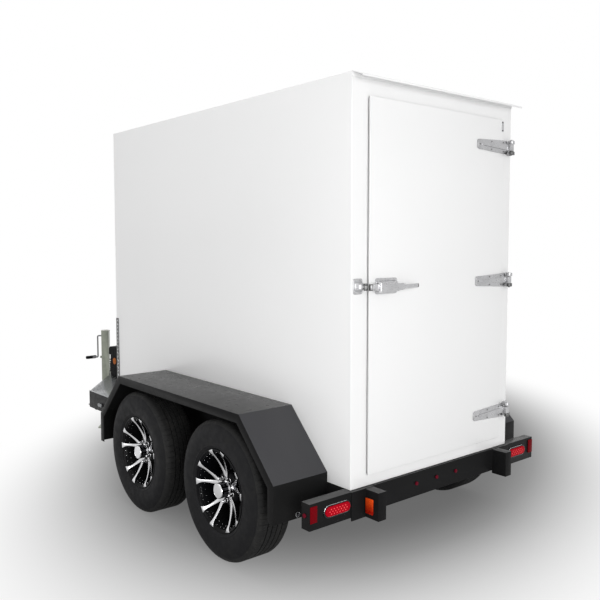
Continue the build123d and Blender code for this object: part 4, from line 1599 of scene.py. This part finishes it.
@dataclass
class Tail:
    """The light bar with its brackets, lamps, reflectors and markers."""

    paints: Paints
    lamp_y: float = 0.703
    optic_radius: float = 0.0036
    optic_pitch: float = 0.0175
    optic_rows: tuple[tuple[int, int], ...] = ((-1, 6), (0, 7), (1, 6))

    def bar(self) -> None:
        """Dress the bar and its two brackets."""
        bar = Bench.dressed("light_bar", 0.0022, 3)
        Bench.deliver(self.paints.coat(bar), "black_paint", ["light_bar"])

    def lenses(self) -> None:
        """Build the oval lamps: a crowned lens, its optics and a bezel of dark chrome, a painted dark
        reflection, with painted highlights in bright chrome.
        """
        low, high = corners("tail_lenses")
        middle = (low.z + high.z) / 2
        lens = Bench.paint(Bench.dressed("tail_lenses", 0.005, 4), self.paints.red)
        optics = []
        size = (0.0022, self.optic_radius, self.optic_radius)
        for side in Side:
            for row, count in self.optic_rows:
                for index in range(count):
                    y = side.value * self.lamp_y + (index - (count - 1) / 2) * self.optic_pitch
                    z = middle + row * self.optic_pitch * 0.62
                    optics.append(Bench.ball("optic", (low.x + 0.0005, y, z), size))
        dots = Bench.shade(Bench.join("tail_optics", optics), 80.0)
        Bench.paint(dots, self.paints.lit_red)
        Bench.deliver(Bench.join("tail_lenses_dressed", [lens, dots]), "red_lens", ["tail_lenses"])
        # Painted reflection: the bezel is dark chrome.
        bezel = Bench.paint(Bench.dressed("lamp_bezels", 0.0018, 3), self.paints.dark_reflection_chrome)

        def painted_highlight(_: Vector, normal: Vector) -> bool:
            """Tell whether a face of the bezel gets a painted highlight of bright chrome."""
            slope = normal.y * 0.6 + normal.z * 0.8
            return slope > 0.55 or slope < -0.8

        # Painted highlight: bright chrome on the faces turned up and to the left, and down and to the right.
        Bench.paint(bezel, self.paints.chrome, painted_highlight)
        Bench.deliver(bezel, "chrome", ["lamp_bezels"])

    def markers(self) -> None:
        """Dress the reflectors, the bracket lamps and the small round lamps."""
        piece = Bench.paint(Bench.dressed("red_markers", 0.0022, 3), self.paints.small_red)
        Bench.paint(piece, self.paints.reflector, lambda centre, normal: 0.75 < abs(centre.y) < 0.866)
        Bench.paint(piece, self.paints.amber_red, lambda centre, normal: 0.5 < abs(centre.y) < 0.62)
        Bench.deliver(piece, "red_lens", ["red_markers"])

    def side_lamps(self) -> None:
        """Dress the clear side lamps near the tongue."""
        Bench.outfit("side_markers", 0.004, 3, self.paints.clear, "clear_lens")

    def build(self) -> None:
        """Build the tail's pieces."""
        self.bar()
        self.lenses()
        self.markers()
        self.side_lamps()


# ---------------------------------------------------------------- wheels


@dataclass
class Wheel:
    """One wheel, modelled on its own axis: X rearwards, Y up and Z outwards."""

    paints: Paints
    tyre_radius: float = 0.359
    groove: float = 0.008
    steps: int = 72
    block_share: float = 0.955
    ribs: tuple[tuple[float, float, float, bool], ...] = (
        # inner end, outer end, phase, slope
        (-0.0120, 0.0120, 0.0, False), (0.0175, 0.0410, 0.5, False), (-0.0175, -0.0410, 0.5, False),
        (0.0470, 0.0740, 0.0, True), (-0.0470, -0.0740, 0.0, True),
    )
    shoulder: tuple[tuple[float, float], ...] = ((0.0085, 0.0030), (0.0085, 0.0065), (0.0070, 0.0110))
    spoke_angles: tuple[float, ...] = (21.4, 93.4, 165.4, 237.4, 309.4)
    spoke_turn: float = 5.0
    spoke_lean: float = 16.0
    valve_turn: float = 57.0
    lugs: int = 5
    lug_circle: float = 0.0600
    studs: int = 36
    stud_rows: tuple[tuple[float, float], ...] = ((0.1915, 0.0860), (0.1862, 0.0630))

    @staticmethod
    def spun(name: str, points: Iterable[tuple[float, float]], steps: int) -> Piece:
        """Spin a closed section round the axle.

        Args:
            name: The new piece's name.
            points: The section, as radius and place along the axle.
            steps: How many steps make the round.

        Returns:
            The spun piece, its faces outwards.
        """
        section = [(radius, 0.0, out) for radius, out in points]
        piece = Bench.profile(name, [*section, section[0]])
        with Bench.editing(piece, "VERT"):
            Bench.pick_all()
            bpy.ops.mesh.remove_doubles(threshold=1e-6)
            Bench.pick_all()
            bpy.ops.mesh.spin(steps=steps, angle=math.tau, center=(0, 0, 0), axis=(0, 0, 1))
            Bench.pick_all()
            bpy.ops.mesh.remove_doubles(threshold=1e-5)
            bpy.ops.mesh.normals_make_consistent(inside=False)
        return piece

    def carcass(self) -> Piece:
        """Spin the tyre's body up to the bottom of its grooves, with a ring above the rim.

        Returns:
            The tyre's body.
        """
        half = (
            (0.192, 0.0880), (0.194, 0.0930), (0.206, 0.0940), (0.2110, 0.0950), (0.2135, 0.0968),
            (0.2160, 0.1000), (0.2210, 0.1035), (0.2265, 0.1060), (0.2285, 0.1080), (0.2320, 0.1084),
            (0.2340, 0.1076), (0.2450, 0.1098), (0.2620, 0.1120), (0.2780, 0.1128), (0.2970, 0.1128),
            (0.3120, 0.1094), (0.3290, 0.1036), (0.3375, 0.0992), (0.3425, 0.0940), (0.3450, 0.0890),
            (0.3470, 0.0830), (0.3490, 0.0740), (0.3500, 0.0400),
        )
        section = [*half, *((radius, -out) for radius, out in reversed(half))]
        return Bench.shade(self.spun("tyre_carcass", section, self.steps), 28.0)

    def rib_block(self, inner: float, outer: float, phase: float, slope: bool) -> Piece:
        """Make one block of a rib, the next one a fine slit away.

        Args:
            inner: The end of the block nearer the tyre's middle, along the axle.
            outer: The end farther from the middle.
            phase: How far the rib is turned, in pitches.
            slope: Whether the block runs down over the shoulder.

        Returns:
            The block, standing on X.
        """
        pitch = math.tau / self.steps
        half = self.tyre_radius * pitch * self.block_share / 2
        floor = self.tyre_radius - self.groove - 0.004
        way = 1.0 if outer > inner else -1.0
        near, far = sorted((inner, outer))
        block = Bench.block("rib_block", (floor, -half, near), (self.tyre_radius, half, far))
        with Bench.editing(block):
            if slope:
                Bench.pick(block, lambda centre, normal: normal.z * way > 0.9)
                for run, drop in self.shoulder:
                    Bench.extrude((-drop, 0, way * run))
            Bench.pick_all()
            bpy.ops.transform.rotate(value=-pitch * phase, orient_axis="Z", center_override=(0, 0, 0))
        Bench.modifier(block, "BEVEL", width=0.0007, segments=1, limit_method="ANGLE", angle_limit=0.6)
        return block

    def tread(self) -> Piece:
        """Cut one pitch of ribs and shoulders and turn it round the axle.

        Returns:
            The whole tread.
        """
        pitch_piece = Bench.join("tread_blocks", [self.rib_block(*rib) for rib in self.ribs])
        with Bench.editing(pitch_piece):
            Bench.pick(pitch_piece, lambda centre, normal: normal.x < -0.9)
            bpy.ops.mesh.delete(type="FACE")
            Bench.pick_all()
            bpy.ops.mesh.spin(steps=self.steps, dupli=True, angle=math.tau, center=(0, 0, 0), axis=(0, 0, 1))
            Bench.pick_all()
            bpy.ops.mesh.remove_doubles(threshold=1e-5)
        return Bench.shade(pitch_piece, 30.0)

    def tyre(self) -> Piece:
        """Put the carcass and the tread together."""
        carcass = Bench.paint(self.carcass(), self.paints.tyre)
        return Bench.join("tyre_master", [carcass, Bench.paint(self.tread(), self.paints.tread)])

    def barrel(self) -> Piece:
        """Spin the rim's gloss barrel, with its rolled lips and well.

        Returns:
            The barrel.
        """
        section = (
            (0.1915, 0.0890), (0.1935, 0.0938), (0.2060, 0.0950), (0.2105, 0.0962), (0.2122, 0.0985),
            (0.2118, 0.1003), (0.2095, 0.1010), (0.2050, 0.1003), (0.1975, 0.0950), (0.1920, 0.0880),
            (0.1885, 0.0780), (0.1850, 0.0600), (0.1815, 0.0300), (0.1800, -0.0300), (0.1830, -0.0600),
            (0.1850, -0.0890), (0.2060, -0.0998), (0.2110, -0.1003), (0.2122, -0.0985), (0.2060, -0.0950),
            (0.1935, -0.0938), (0.1915, -0.0600), (0.1850, -0.0400), (0.1850, 0.0200), (0.1915, 0.0450),
        )
        return Bench.shade(self.spun("rim_barrel", section, 96), 40.0)

    def disc(self) -> Piece:
        """Spin the dished centre that the nuts clamp.

        Returns:
            The disc.
        """
        section = (
            (0.0405, 0.006), (0.0900, 0.006), (0.0960, 0.014), (0.0960, 0.030),
            (0.0880, 0.040), (0.0780, 0.045), (0.0480, 0.045), (0.0405, 0.043),
        )
        return Bench.shade(self.spun("rim_disc", section, 64), 40.0)

    def spoke(self) -> Piece:
        """Draw one spoke out from the disc to its flared tip, along X.

        Returns:
            The spoke.
        """
        stations = (
            # radius, half width, face height, depth, sway
            (0.042, 0.0105, 0.0480, 0.020, 0.0), (0.050, 0.0115, 0.0482, 0.020, 0.0),
            (0.072, 0.0122, 0.0500, 0.022, 0.0), (0.090, 0.0108, 0.0525, 0.024, 0.0),
            (0.112, 0.0088, 0.0585, 0.025, -0.0005), (0.136, 0.0072, 0.0675, 0.024, -0.0015),
            (0.158, 0.0064, 0.0775, 0.022, -0.0022), (0.174, 0.0066, 0.0862, 0.019, -0.0022),
            (0.185, 0.0084, 0.0935, 0.015, -0.0016), (0.194, 0.0118, 0.0985, 0.012, -0.0008),
            (0.202, 0.0152, 0.1006, 0.009, -0.0002), (0.2098, 0.0182, 0.1016, 0.006, 0.0),
        )
        spoke = Bench.drawn("spoke_seed", 0, [
            (radius, sway - half, sway + half, face - depth, face)
            for radius, half, face, depth, sway in stations
        ])
        return Bench.soften(spoke, 0.0010, 2, 40.0)

    def spokes(self) -> Piece:
        """Set the spokes in mirrored pairs round the disc, their faces machined bright.

        Returns:
            All the spokes as one piece.
        """
        seed = self.spoke()
        lean = turned(self.spoke_lean)
        foot = Matrix.Translation((0.080, 0, 0)) @ lean @ Matrix.Translation((-0.080, 0, 0))
        one = turned(self.spoke_turn) @ foot
        moves = [
            turned(middle) @ Matrix.Diagonal((1.0, hand, 1.0, 1.0)) @ one
            for middle in self.spoke_angles for hand in (-1, 1)
        ]
        spokes = Bench.spread("rim_spokes", seed, moves)
        Bench.paint(spokes, self.paints.rim)
        return Bench.paint(spokes, self.paints.machined, lambda centre, normal: normal.z > 0.6)

    def stud_rings(self) -> Piece:
        """Set two rows of small bright studs round the barrel behind the lip.

        Returns:
            The studs as one piece.
        """
        rows = []
        for row, (radius, height) in enumerate(self.stud_rows):
            foot, top = (radius + 0.001, 0, height), (radius - 0.0025, 0, height + 0.0008)
            seed = Bench.soften(Bench.rod("stud_seed", foot, top, 0.0021, 8), 0.0006, 1)
            turns = [turned(360.0 * (index + 0.5 * row) / self.studs) for index in range(self.studs)]
            rows.append(Bench.spread("rim_studs_row", seed, turns))
        return Bench.paint(Bench.join("rim_studs", rows), self.paints.machined)

    def valve(self) -> Piece:
        """Stand the valve stem in the barrel.

        Returns:
            The valve, with its cap.
        """
        stem = Bench.rod("valve_stem", (0.184, 0, 0.062), (0.160, 0, 0.074), 0.0042, 12, 0.0036)
        cap = Bench.rod("valve_cap", (0.163, 0, 0.0725), (0.154, 0, 0.0770), 0.0050, 10)
        piece = Bench.join("valve", [Bench.soften(stem, 0.0005, 1), Bench.soften(cap, 0.0008)])
        valve = Bench.spread("valve_turned", piece, [turned(self.valve_turn)])
        return Bench.paint(valve, self.paints.plastic)

    def rim(self) -> Piece:
        """Put the rim together."""
        black = [Bench.paint(piece, self.paints.rim) for piece in (self.barrel(), self.disc())]
        return Bench.join("rim_master", [*black, self.spokes(), self.stud_rings(), self.valve()])

    def hub(self) -> Piece:
        """Build the hub: drum, bright cap and nuts.

        Returns:
            The hub with its cap and nuts.
        """
        section = (
            (0.0221, -0.086), (0.1360, -0.086), (0.1400, -0.082), (0.1400, -0.060), (0.1375, -0.057),
            (0.1400, -0.054), (0.1400, -0.018), (0.1340, -0.010), (0.0900, -0.010), (0.0900, 0.005),
            (0.0380, 0.005), (0.0380, 0.030), (0.0221, 0.030),
        )
        drum = Bench.paint(Bench.shade(self.spun("drum", section, 64), 30.0), self.paints.cast)
        section = (
            (0.0001, 0.046), (0.0400, 0.046), (0.0400, 0.052), (0.0385, 0.054), (0.0385, 0.060),
            (0.0400, 0.062), (0.0400, 0.097), (0.0392, 0.1005), (0.0370, 0.1030), (0.0340, 0.1040),
            (0.0330, 0.1032), (0.0001, 0.1034),
        )
        cap = Bench.paint(Bench.shade(self.spun("hub_cap", section, 64), 30.0), self.paints.chrome)
        # Painted dark reflection: the cap's side wall is dark chrome.
        wall: FaceTest = lambda centre, normal: abs(normal.z) < 0.5 and 0.062 < centre.z < 0.097
        Bench.paint(cap, self.paints.dark_reflection_chrome, wall)
        nuts = []
        for index in range(self.lugs):
            angle = math.radians(self.spoke_angles[0] + 36.0) + math.tau * index / self.lugs
            x, y = self.lug_circle * math.cos(angle), self.lug_circle * math.sin(angle)
            skirt = Bench.rod("nut_skirt", (x, y, 0.0445), (x, y, 0.051), 0.0125, 20, 0.0105)
            nut = Bench.rod("nut", (x, y, 0.049), (x, y, 0.072), 0.0098, 6)
            dome = Bench.ball("nut_dome", (x, y, 0.072), (0.0080, 0.0080, 0.0055))
            nuts += [Bench.soften(skirt, 0.0006, 1), Bench.soften(nut, 0.0010), Bench.shade(dome, 60.0)]
        bright = Bench.paint(Bench.join("hub_nuts", nuts), self.paints.chrome)
        return Bench.join("hub_master", [cap, drum, bright])

    def build(self) -> None:
        """Model the tyre, rim and hub once and set them at the four corners."""
        masters = {"tyre": self.tyre(), "rim": self.rim(), "hub": self.hub()}
        for end in ("rear", "front"):
            for side in Side:
                place = f"{end}_{side.name.lower()}"
                low, high = corners(f"tyre_{place}")
                centre = (low + high) / 2
                seat = Matrix.Translation((centre.x, centre.y, self.tyre_radius)) @ Matrix(
                    ((-side.value, 0, 0, 0), (0, 0, side.value, 0), (0, 1, 0, 0), (0, 0, 0, 1))
                )
                for kind, master in masters.items():
                    piece = Bench.twin(master, f"{kind}_{place}_dressed", seat)
                    Bench.deliver(piece, kind, [f"{kind}_{place}"], f"wheel_{place}")
        for master in masters.values():
            bpy.data.objects.remove(master)


@dataclass
class Axles:
    """The torsion axles with their arms, hangers and backing plates."""

    paints: Paints
    stations: tuple[float, float] = (-1.163, -0.286)
    hanger_half: float = 0.075
    hanger_plate: float = 0.006

    def build(self) -> None:
        """Dress the axle tubes and the arms, and bolt the tubes to the rails."""
        beams = Bench.dressed("axle_beams", 0.007, 3)
        _, high = corners("axle_beams")
        _, rail_high = corners("frame_rails")
        parts = [beams]
        half, plate = self.hanger_half, self.hanger_plate
        for x in self.stations:
            for side in Side:
                inner = side.value * (rail_high.y - 0.051)
                foot = (x - half, inner - plate, high.z - 0.07)
                bracket = Bench.block("hanger", foot, (x + half, inner + plate, high.z + 0.012))
                parts.append(Bench.soften(bracket, 0.002))
                for step in (-0.055, 0.055):
                    place = (x + step, inner - side.value * plate, high.z - 0.012)
                    parts.append(bolt_head("hanger_bolt", place, (0, -side.value, 0), 0.010, 0.009))
        piece = Bench.paint(Bench.join("axle_beams_dressed", parts), self.paints.black)
        Bench.deliver(piece, "black_paint", ["axle_beams"])
        Bench.outfit("torsion_arms", 0.003, 2, self.paints.dark, "black_paint")


# ---------------------------------------------------------------- tongue gear


@dataclass
class BatteryBox:
    """The ribbed black box on the deck and its strapped lid."""

    paints: Paints
    rib_pitch: float = 0.020
    rib_stand: float = 0.004
    cap_x: float = 1.412
    cap_z: float = 0.600
    lid_ribs: tuple[float, ...] = (-0.16, -0.125, -0.09, -0.055, 0.02, 0.115, 0.15)

    def ribs(self, low: Vector, high: Vector) -> Piece:
        """Run moulded ribs round the box.

        Args:
            low: The box's lowest corner.
            high: The box's highest corner.

        Returns:
            The ribs as one piece.
        """
        parts = []
        stand = self.rib_stand
        level = low.z + 0.030
        while level < high.z - 0.030:
            foot = (low.x - stand, low.y - stand, level)
            parts.append(Bench.block("box_rib", foot, (high.x + stand, high.y + stand, level + 0.009)))
            level += self.rib_pitch
        return Bench.soften(Bench.join("box_ribs", parts), 0.003)

    def box(self) -> None:
        """Dress the box with ribs and an orange cap on its left face."""
        low, high = corners("battery_box")
        body = Bench.dressed("battery_box", 0.006, 3)
        piece = Bench.join("battery_box_dressed", [body, self.ribs(low, high)])
        Bench.paint(piece, self.paints.plastic)
        x, y, z = self.cap_x, high.y + 0.002, self.cap_z
        cap = Bench.rod("vent_cap", (x, y, z), (x, y + 0.007, z), 0.028)
        Bench.paint(Bench.soften(cap, 0.002), self.paints.orange)
        piece = Bench.join("battery_box_dressed", [piece, cap])
        Bench.deliver(piece, "black_plastic", ["battery_box"])

    def lid(self) -> None:
        """Dress the lid with ribs, a strap and its buckle."""
        low, high = corners("battery_lid")
        body = Bench.dressed("battery_lid", 0.007, 3)
        middle = (low.x + high.x) / 2
        half, proud = 0.019, 0.0015
        foot = (middle - half, low.y - proud, low.z - 0.004)
        strap = Bench.block("lid_strap", foot, (middle + half, high.y + proud, high.z + 0.002))
        foot = (middle - 0.024, 0.050, high.z + 0.001)
        buckle = Bench.block("strap_buckle", foot, (middle + 0.024, 0.095, high.z + 0.008))
        ribs = []
        for y in self.lid_ribs:
            foot = (low.x + 0.066, y - 0.005, high.z - 0.001)
            ribs.append(Bench.block("lid_rib", foot, (high.x - 0.036, y + 0.005, high.z + 0.003)))
        ribbing = Bench.soften(Bench.join("lid_ribs", ribs), 0.0014)
        parts = [body, Bench.soften(strap, 0.001, 1), Bench.soften(buckle, 0.0022), ribbing]
        piece = Bench.paint(Bench.join("battery_lid_dressed", parts), self.paints.plastic)
        Bench.deliver(piece, "black_plastic", ["battery_lid"])

    def build(self) -> None:
        """Build the battery box."""
        self.box()
        self.lid()


@dataclass
class CoolingUnit:
    """The cooling unit on the front wall: a louvred cabinet with two fans."""

    paints: Paints
    louvres: int = 9
    louvre_pitch: float = 0.030
    louvre_stand: float = 0.006
    slat_pitch: float = 0.024
    fan_radius: float = 0.125
    fan_blades: int = 7

    def cabinet(self) -> None:
        """Dress the cabinet with side louvres and screws."""
        low, high = corners("cooling_unit")
        body = Bench.dressed("cooling_unit", 0.010, 4)
        parts = [body]
        for side in Side:
            face = high.y if side is Side.LEFT else low.y
            right, left = sorted((face, face + side.value * self.louvre_stand))
            for row in range(self.louvres):
                z = low.z + 0.12 + row * self.louvre_pitch
                slat = Bench.block("louvre", (low.x + 0.09, right, z), (high.x - 0.09, left, z + 0.016))
                with Bench.editing(slat):
                    Bench.pick(slat, lambda centre, normal: normal.y * side.value > 0.9)
                    bpy.ops.transform.resize(value=(0.96, 1.0, 0.35))
                    bpy.ops.transform.translate(value=(0, 0, -0.004))
                parts.append(Bench.soften(slat, 0.0008, 1))
            for x in (low.x + 0.03, high.x - 0.03):
                for z in (low.z + 0.05, high.z - 0.05):
                    parts.append(screw_head("cabinet_screw", (x, face, z), (0, side.value, 0), 0.006))
        piece = Bench.paint(Bench.join("cooling_cabinet", parts), self.paints.sheet)
        Bench.deliver(piece, "white_sheet", ["cooling_unit"])

    def grille(self) -> None:
        """Build the grille: a frame, slats and two fans behind them."""
        low, high = corners("cooling_grille")
        rim = Bench.block("grille_frame", low, high)
        with Bench.editing(rim):
            Bench.pick(rim, lambda centre, normal: normal.x > 0.9)
            bpy.ops.mesh.inset(thickness=0.022)
            Bench.extrude((-(high.x - low.x) * 0.8, 0, 0))
        parts = [Bench.soften(rim, 0.002)]
        level = low.z + 0.030
        while level < high.z - 0.030:
            foot = (high.x - 0.007, low.y + 0.020, level)
            slat = Bench.block("slat", foot, (high.x - 0.0012, high.y - 0.020, level + 0.006))
            parts.append(Bench.soften(slat, 0.001, 1))
            level += self.slat_pitch
        for side in Side:
            centre = Vector((low.x + 0.002, side.value * (high.y * 0.5), (low.z + high.z) / 2))
            hub = Bench.rod("fan_hub", centre, centre + Vector((0.006, 0, 0)), 0.035)
            parts.append(Bench.soften(hub, 0.001, 1))
            tip = centre + Vector((0.003, self.fan_radius * 0.95, 0.03))
            wing = Bench.block("fan_wing", centre + Vector((0, 0.02, -0.03)), tip)
            there, back = Matrix.Translation(centre), Matrix.Translation(-centre)
            angles = [math.tau * blade / self.fan_blades for blade in range(self.fan_blades)]
            turns = [there @ Matrix.Rotation(angle, 4, "X") @ back for angle in angles]
            parts.append(Bench.spread("fan_wings", wing, turns))
        piece = Bench.paint(Bench.join("grille_dressed", parts), self.paints.plastic)
        Bench.deliver(piece, "black_plastic", ["cooling_grille"])

    def build(self) -> None:
        """Build the cooling unit."""
        self.cabinet()
        self.grille()


@dataclass
class Jack:
    """The drop-leg jack with its crank."""

    paints: Paints
    centre: tuple[float, float] = (1.575, 0.205)
    clip: tuple[float, float] = (1.581, 0.247)
    clip_z: tuple[float, float] = (0.612, 0.630)
    cap_half: float = 0.031
    grip_ribs: int = 8
    grip_rib_half: float = 0.0032

    def tube(self) -> None:
        """Dress the outer tube with a pale cap and a clip on its side."""
        _, high = corners("jack_tube")
        body = Bench.paint(Bench.dressed("jack_tube", 0.004, 3), self.paints.zinc)
        x, y = self.centre
        ends = [(*self.clip, z) for z in self.clip_z]
        clip = Bench.rod("jack_clip", *ends, 0.0085, 20)
        Bench.paint(Bench.soften(clip, 0.003, 3), self.paints.zinc)
        half = self.cap_half
        foot = (x - half, y - half, high.z - 0.0005)
        cap = Bench.block("jack_cap", foot, (x + half, y + half, high.z + 0.004))
        with Bench.editing(cap):
            Bench.pick(cap, lambda centre, normal: normal.z > 0.9)
            bpy.ops.transform.resize(value=(0.85, 0.85, 1.0))
        Bench.paint(Bench.soften(cap, 0.0025, 3), self.paints.pale)
        piece = Bench.join("jack_tube_dressed", [body, cap, clip])
        Bench.deliver(piece, "zinc", ["jack_tube"])

    def leg(self) -> None:
        """Dress the leg and its foot."""
        Bench.outfit("jack_leg", 0.003, 3, self.paints.zinc, "zinc", "jack_leg")

    def crank(self) -> None:
        """Dress the crank and its ribbed grip."""
        Bench.outfit("jack_crank", 0.0018, 2, self.paints.rod, "zinc")
        low, high = corners("crank_grip")
        centre = (low + high) / 2
        size = high - low
        long = max(range(3), key=lambda axis: size[axis])
        radius = min(size[(long + 1) % 3], size[(long + 2) % 3]) / 2
        axis = Vector([1.0 if index == long else 0.0 for index in range(3)])
        start = centre - axis * size[long] / 2
        core = Bench.rod("grip_core", start, start + axis * size[long], radius * 0.86)
        grip = [Bench.soften(core, 0.003, 3)]
        half = axis * self.grip_rib_half
        for index in range(self.grip_ribs):
            middle = start + axis * size[long] * (index + 0.7) / (self.grip_ribs + 0.4)
            grip.append(Bench.soften(Bench.rod("grip_rib", middle - half, middle + half, radius), 0.0014))
        piece = Bench.paint(Bench.join("crank_grip_dressed", grip), self.paints.plastic)
        Bench.deliver(piece, "black_plastic", ["crank_grip"])

    def build(self) -> None:
        """Build the jack."""
        self.tube()
        self.leg()
        self.crank()


# ---------------------------------------------------------------- main


def paint_nodes(paints: Paints) -> None:
    """Give every CAD node that still shows its finish.

    Args:
        paints: The finishes.
    """
    finishes = {
        "white_panel": paints.white, "floor_panel": paints.floor, "white_sheet": paints.sheet,
        "black_paint": paints.black, "tread_plate": paints.plate, "galvanised": paints.galvanised,
        "polished_steel": paints.steel, "chrome": paints.chrome, "zinc": paints.zinc, "red_lens": paints.red,
        "clear_lens": paints.clear, "black_plastic": paints.plastic, "grey_rubber": paints.rubber,
        "tyre": paints.tyre, "rim": paints.rim, "hub": paints.chrome,
    }
    for part in frame["record"]["subparts"]:
        node = frame["nodes"][part["node"]]
        if not node.hide_render:
            Bench.paint(node, finishes[part["material_slot"]])


def main() -> None:
    """Build the dressed trailer and its studio."""
    logging.basicConfig(level=logging.INFO, format="%(name)s: %(message)s")
    paints = Paints()
    Studio().build()
    for assembly in (BoxBody, RearDoor, Chassis, Fenders, Tail, Axles, Wheel, BatteryBox, CoolingUnit, Jack):
        assembly(paints).build()
    paint_nodes(paints)


if __name__ == "__main__":
    main()
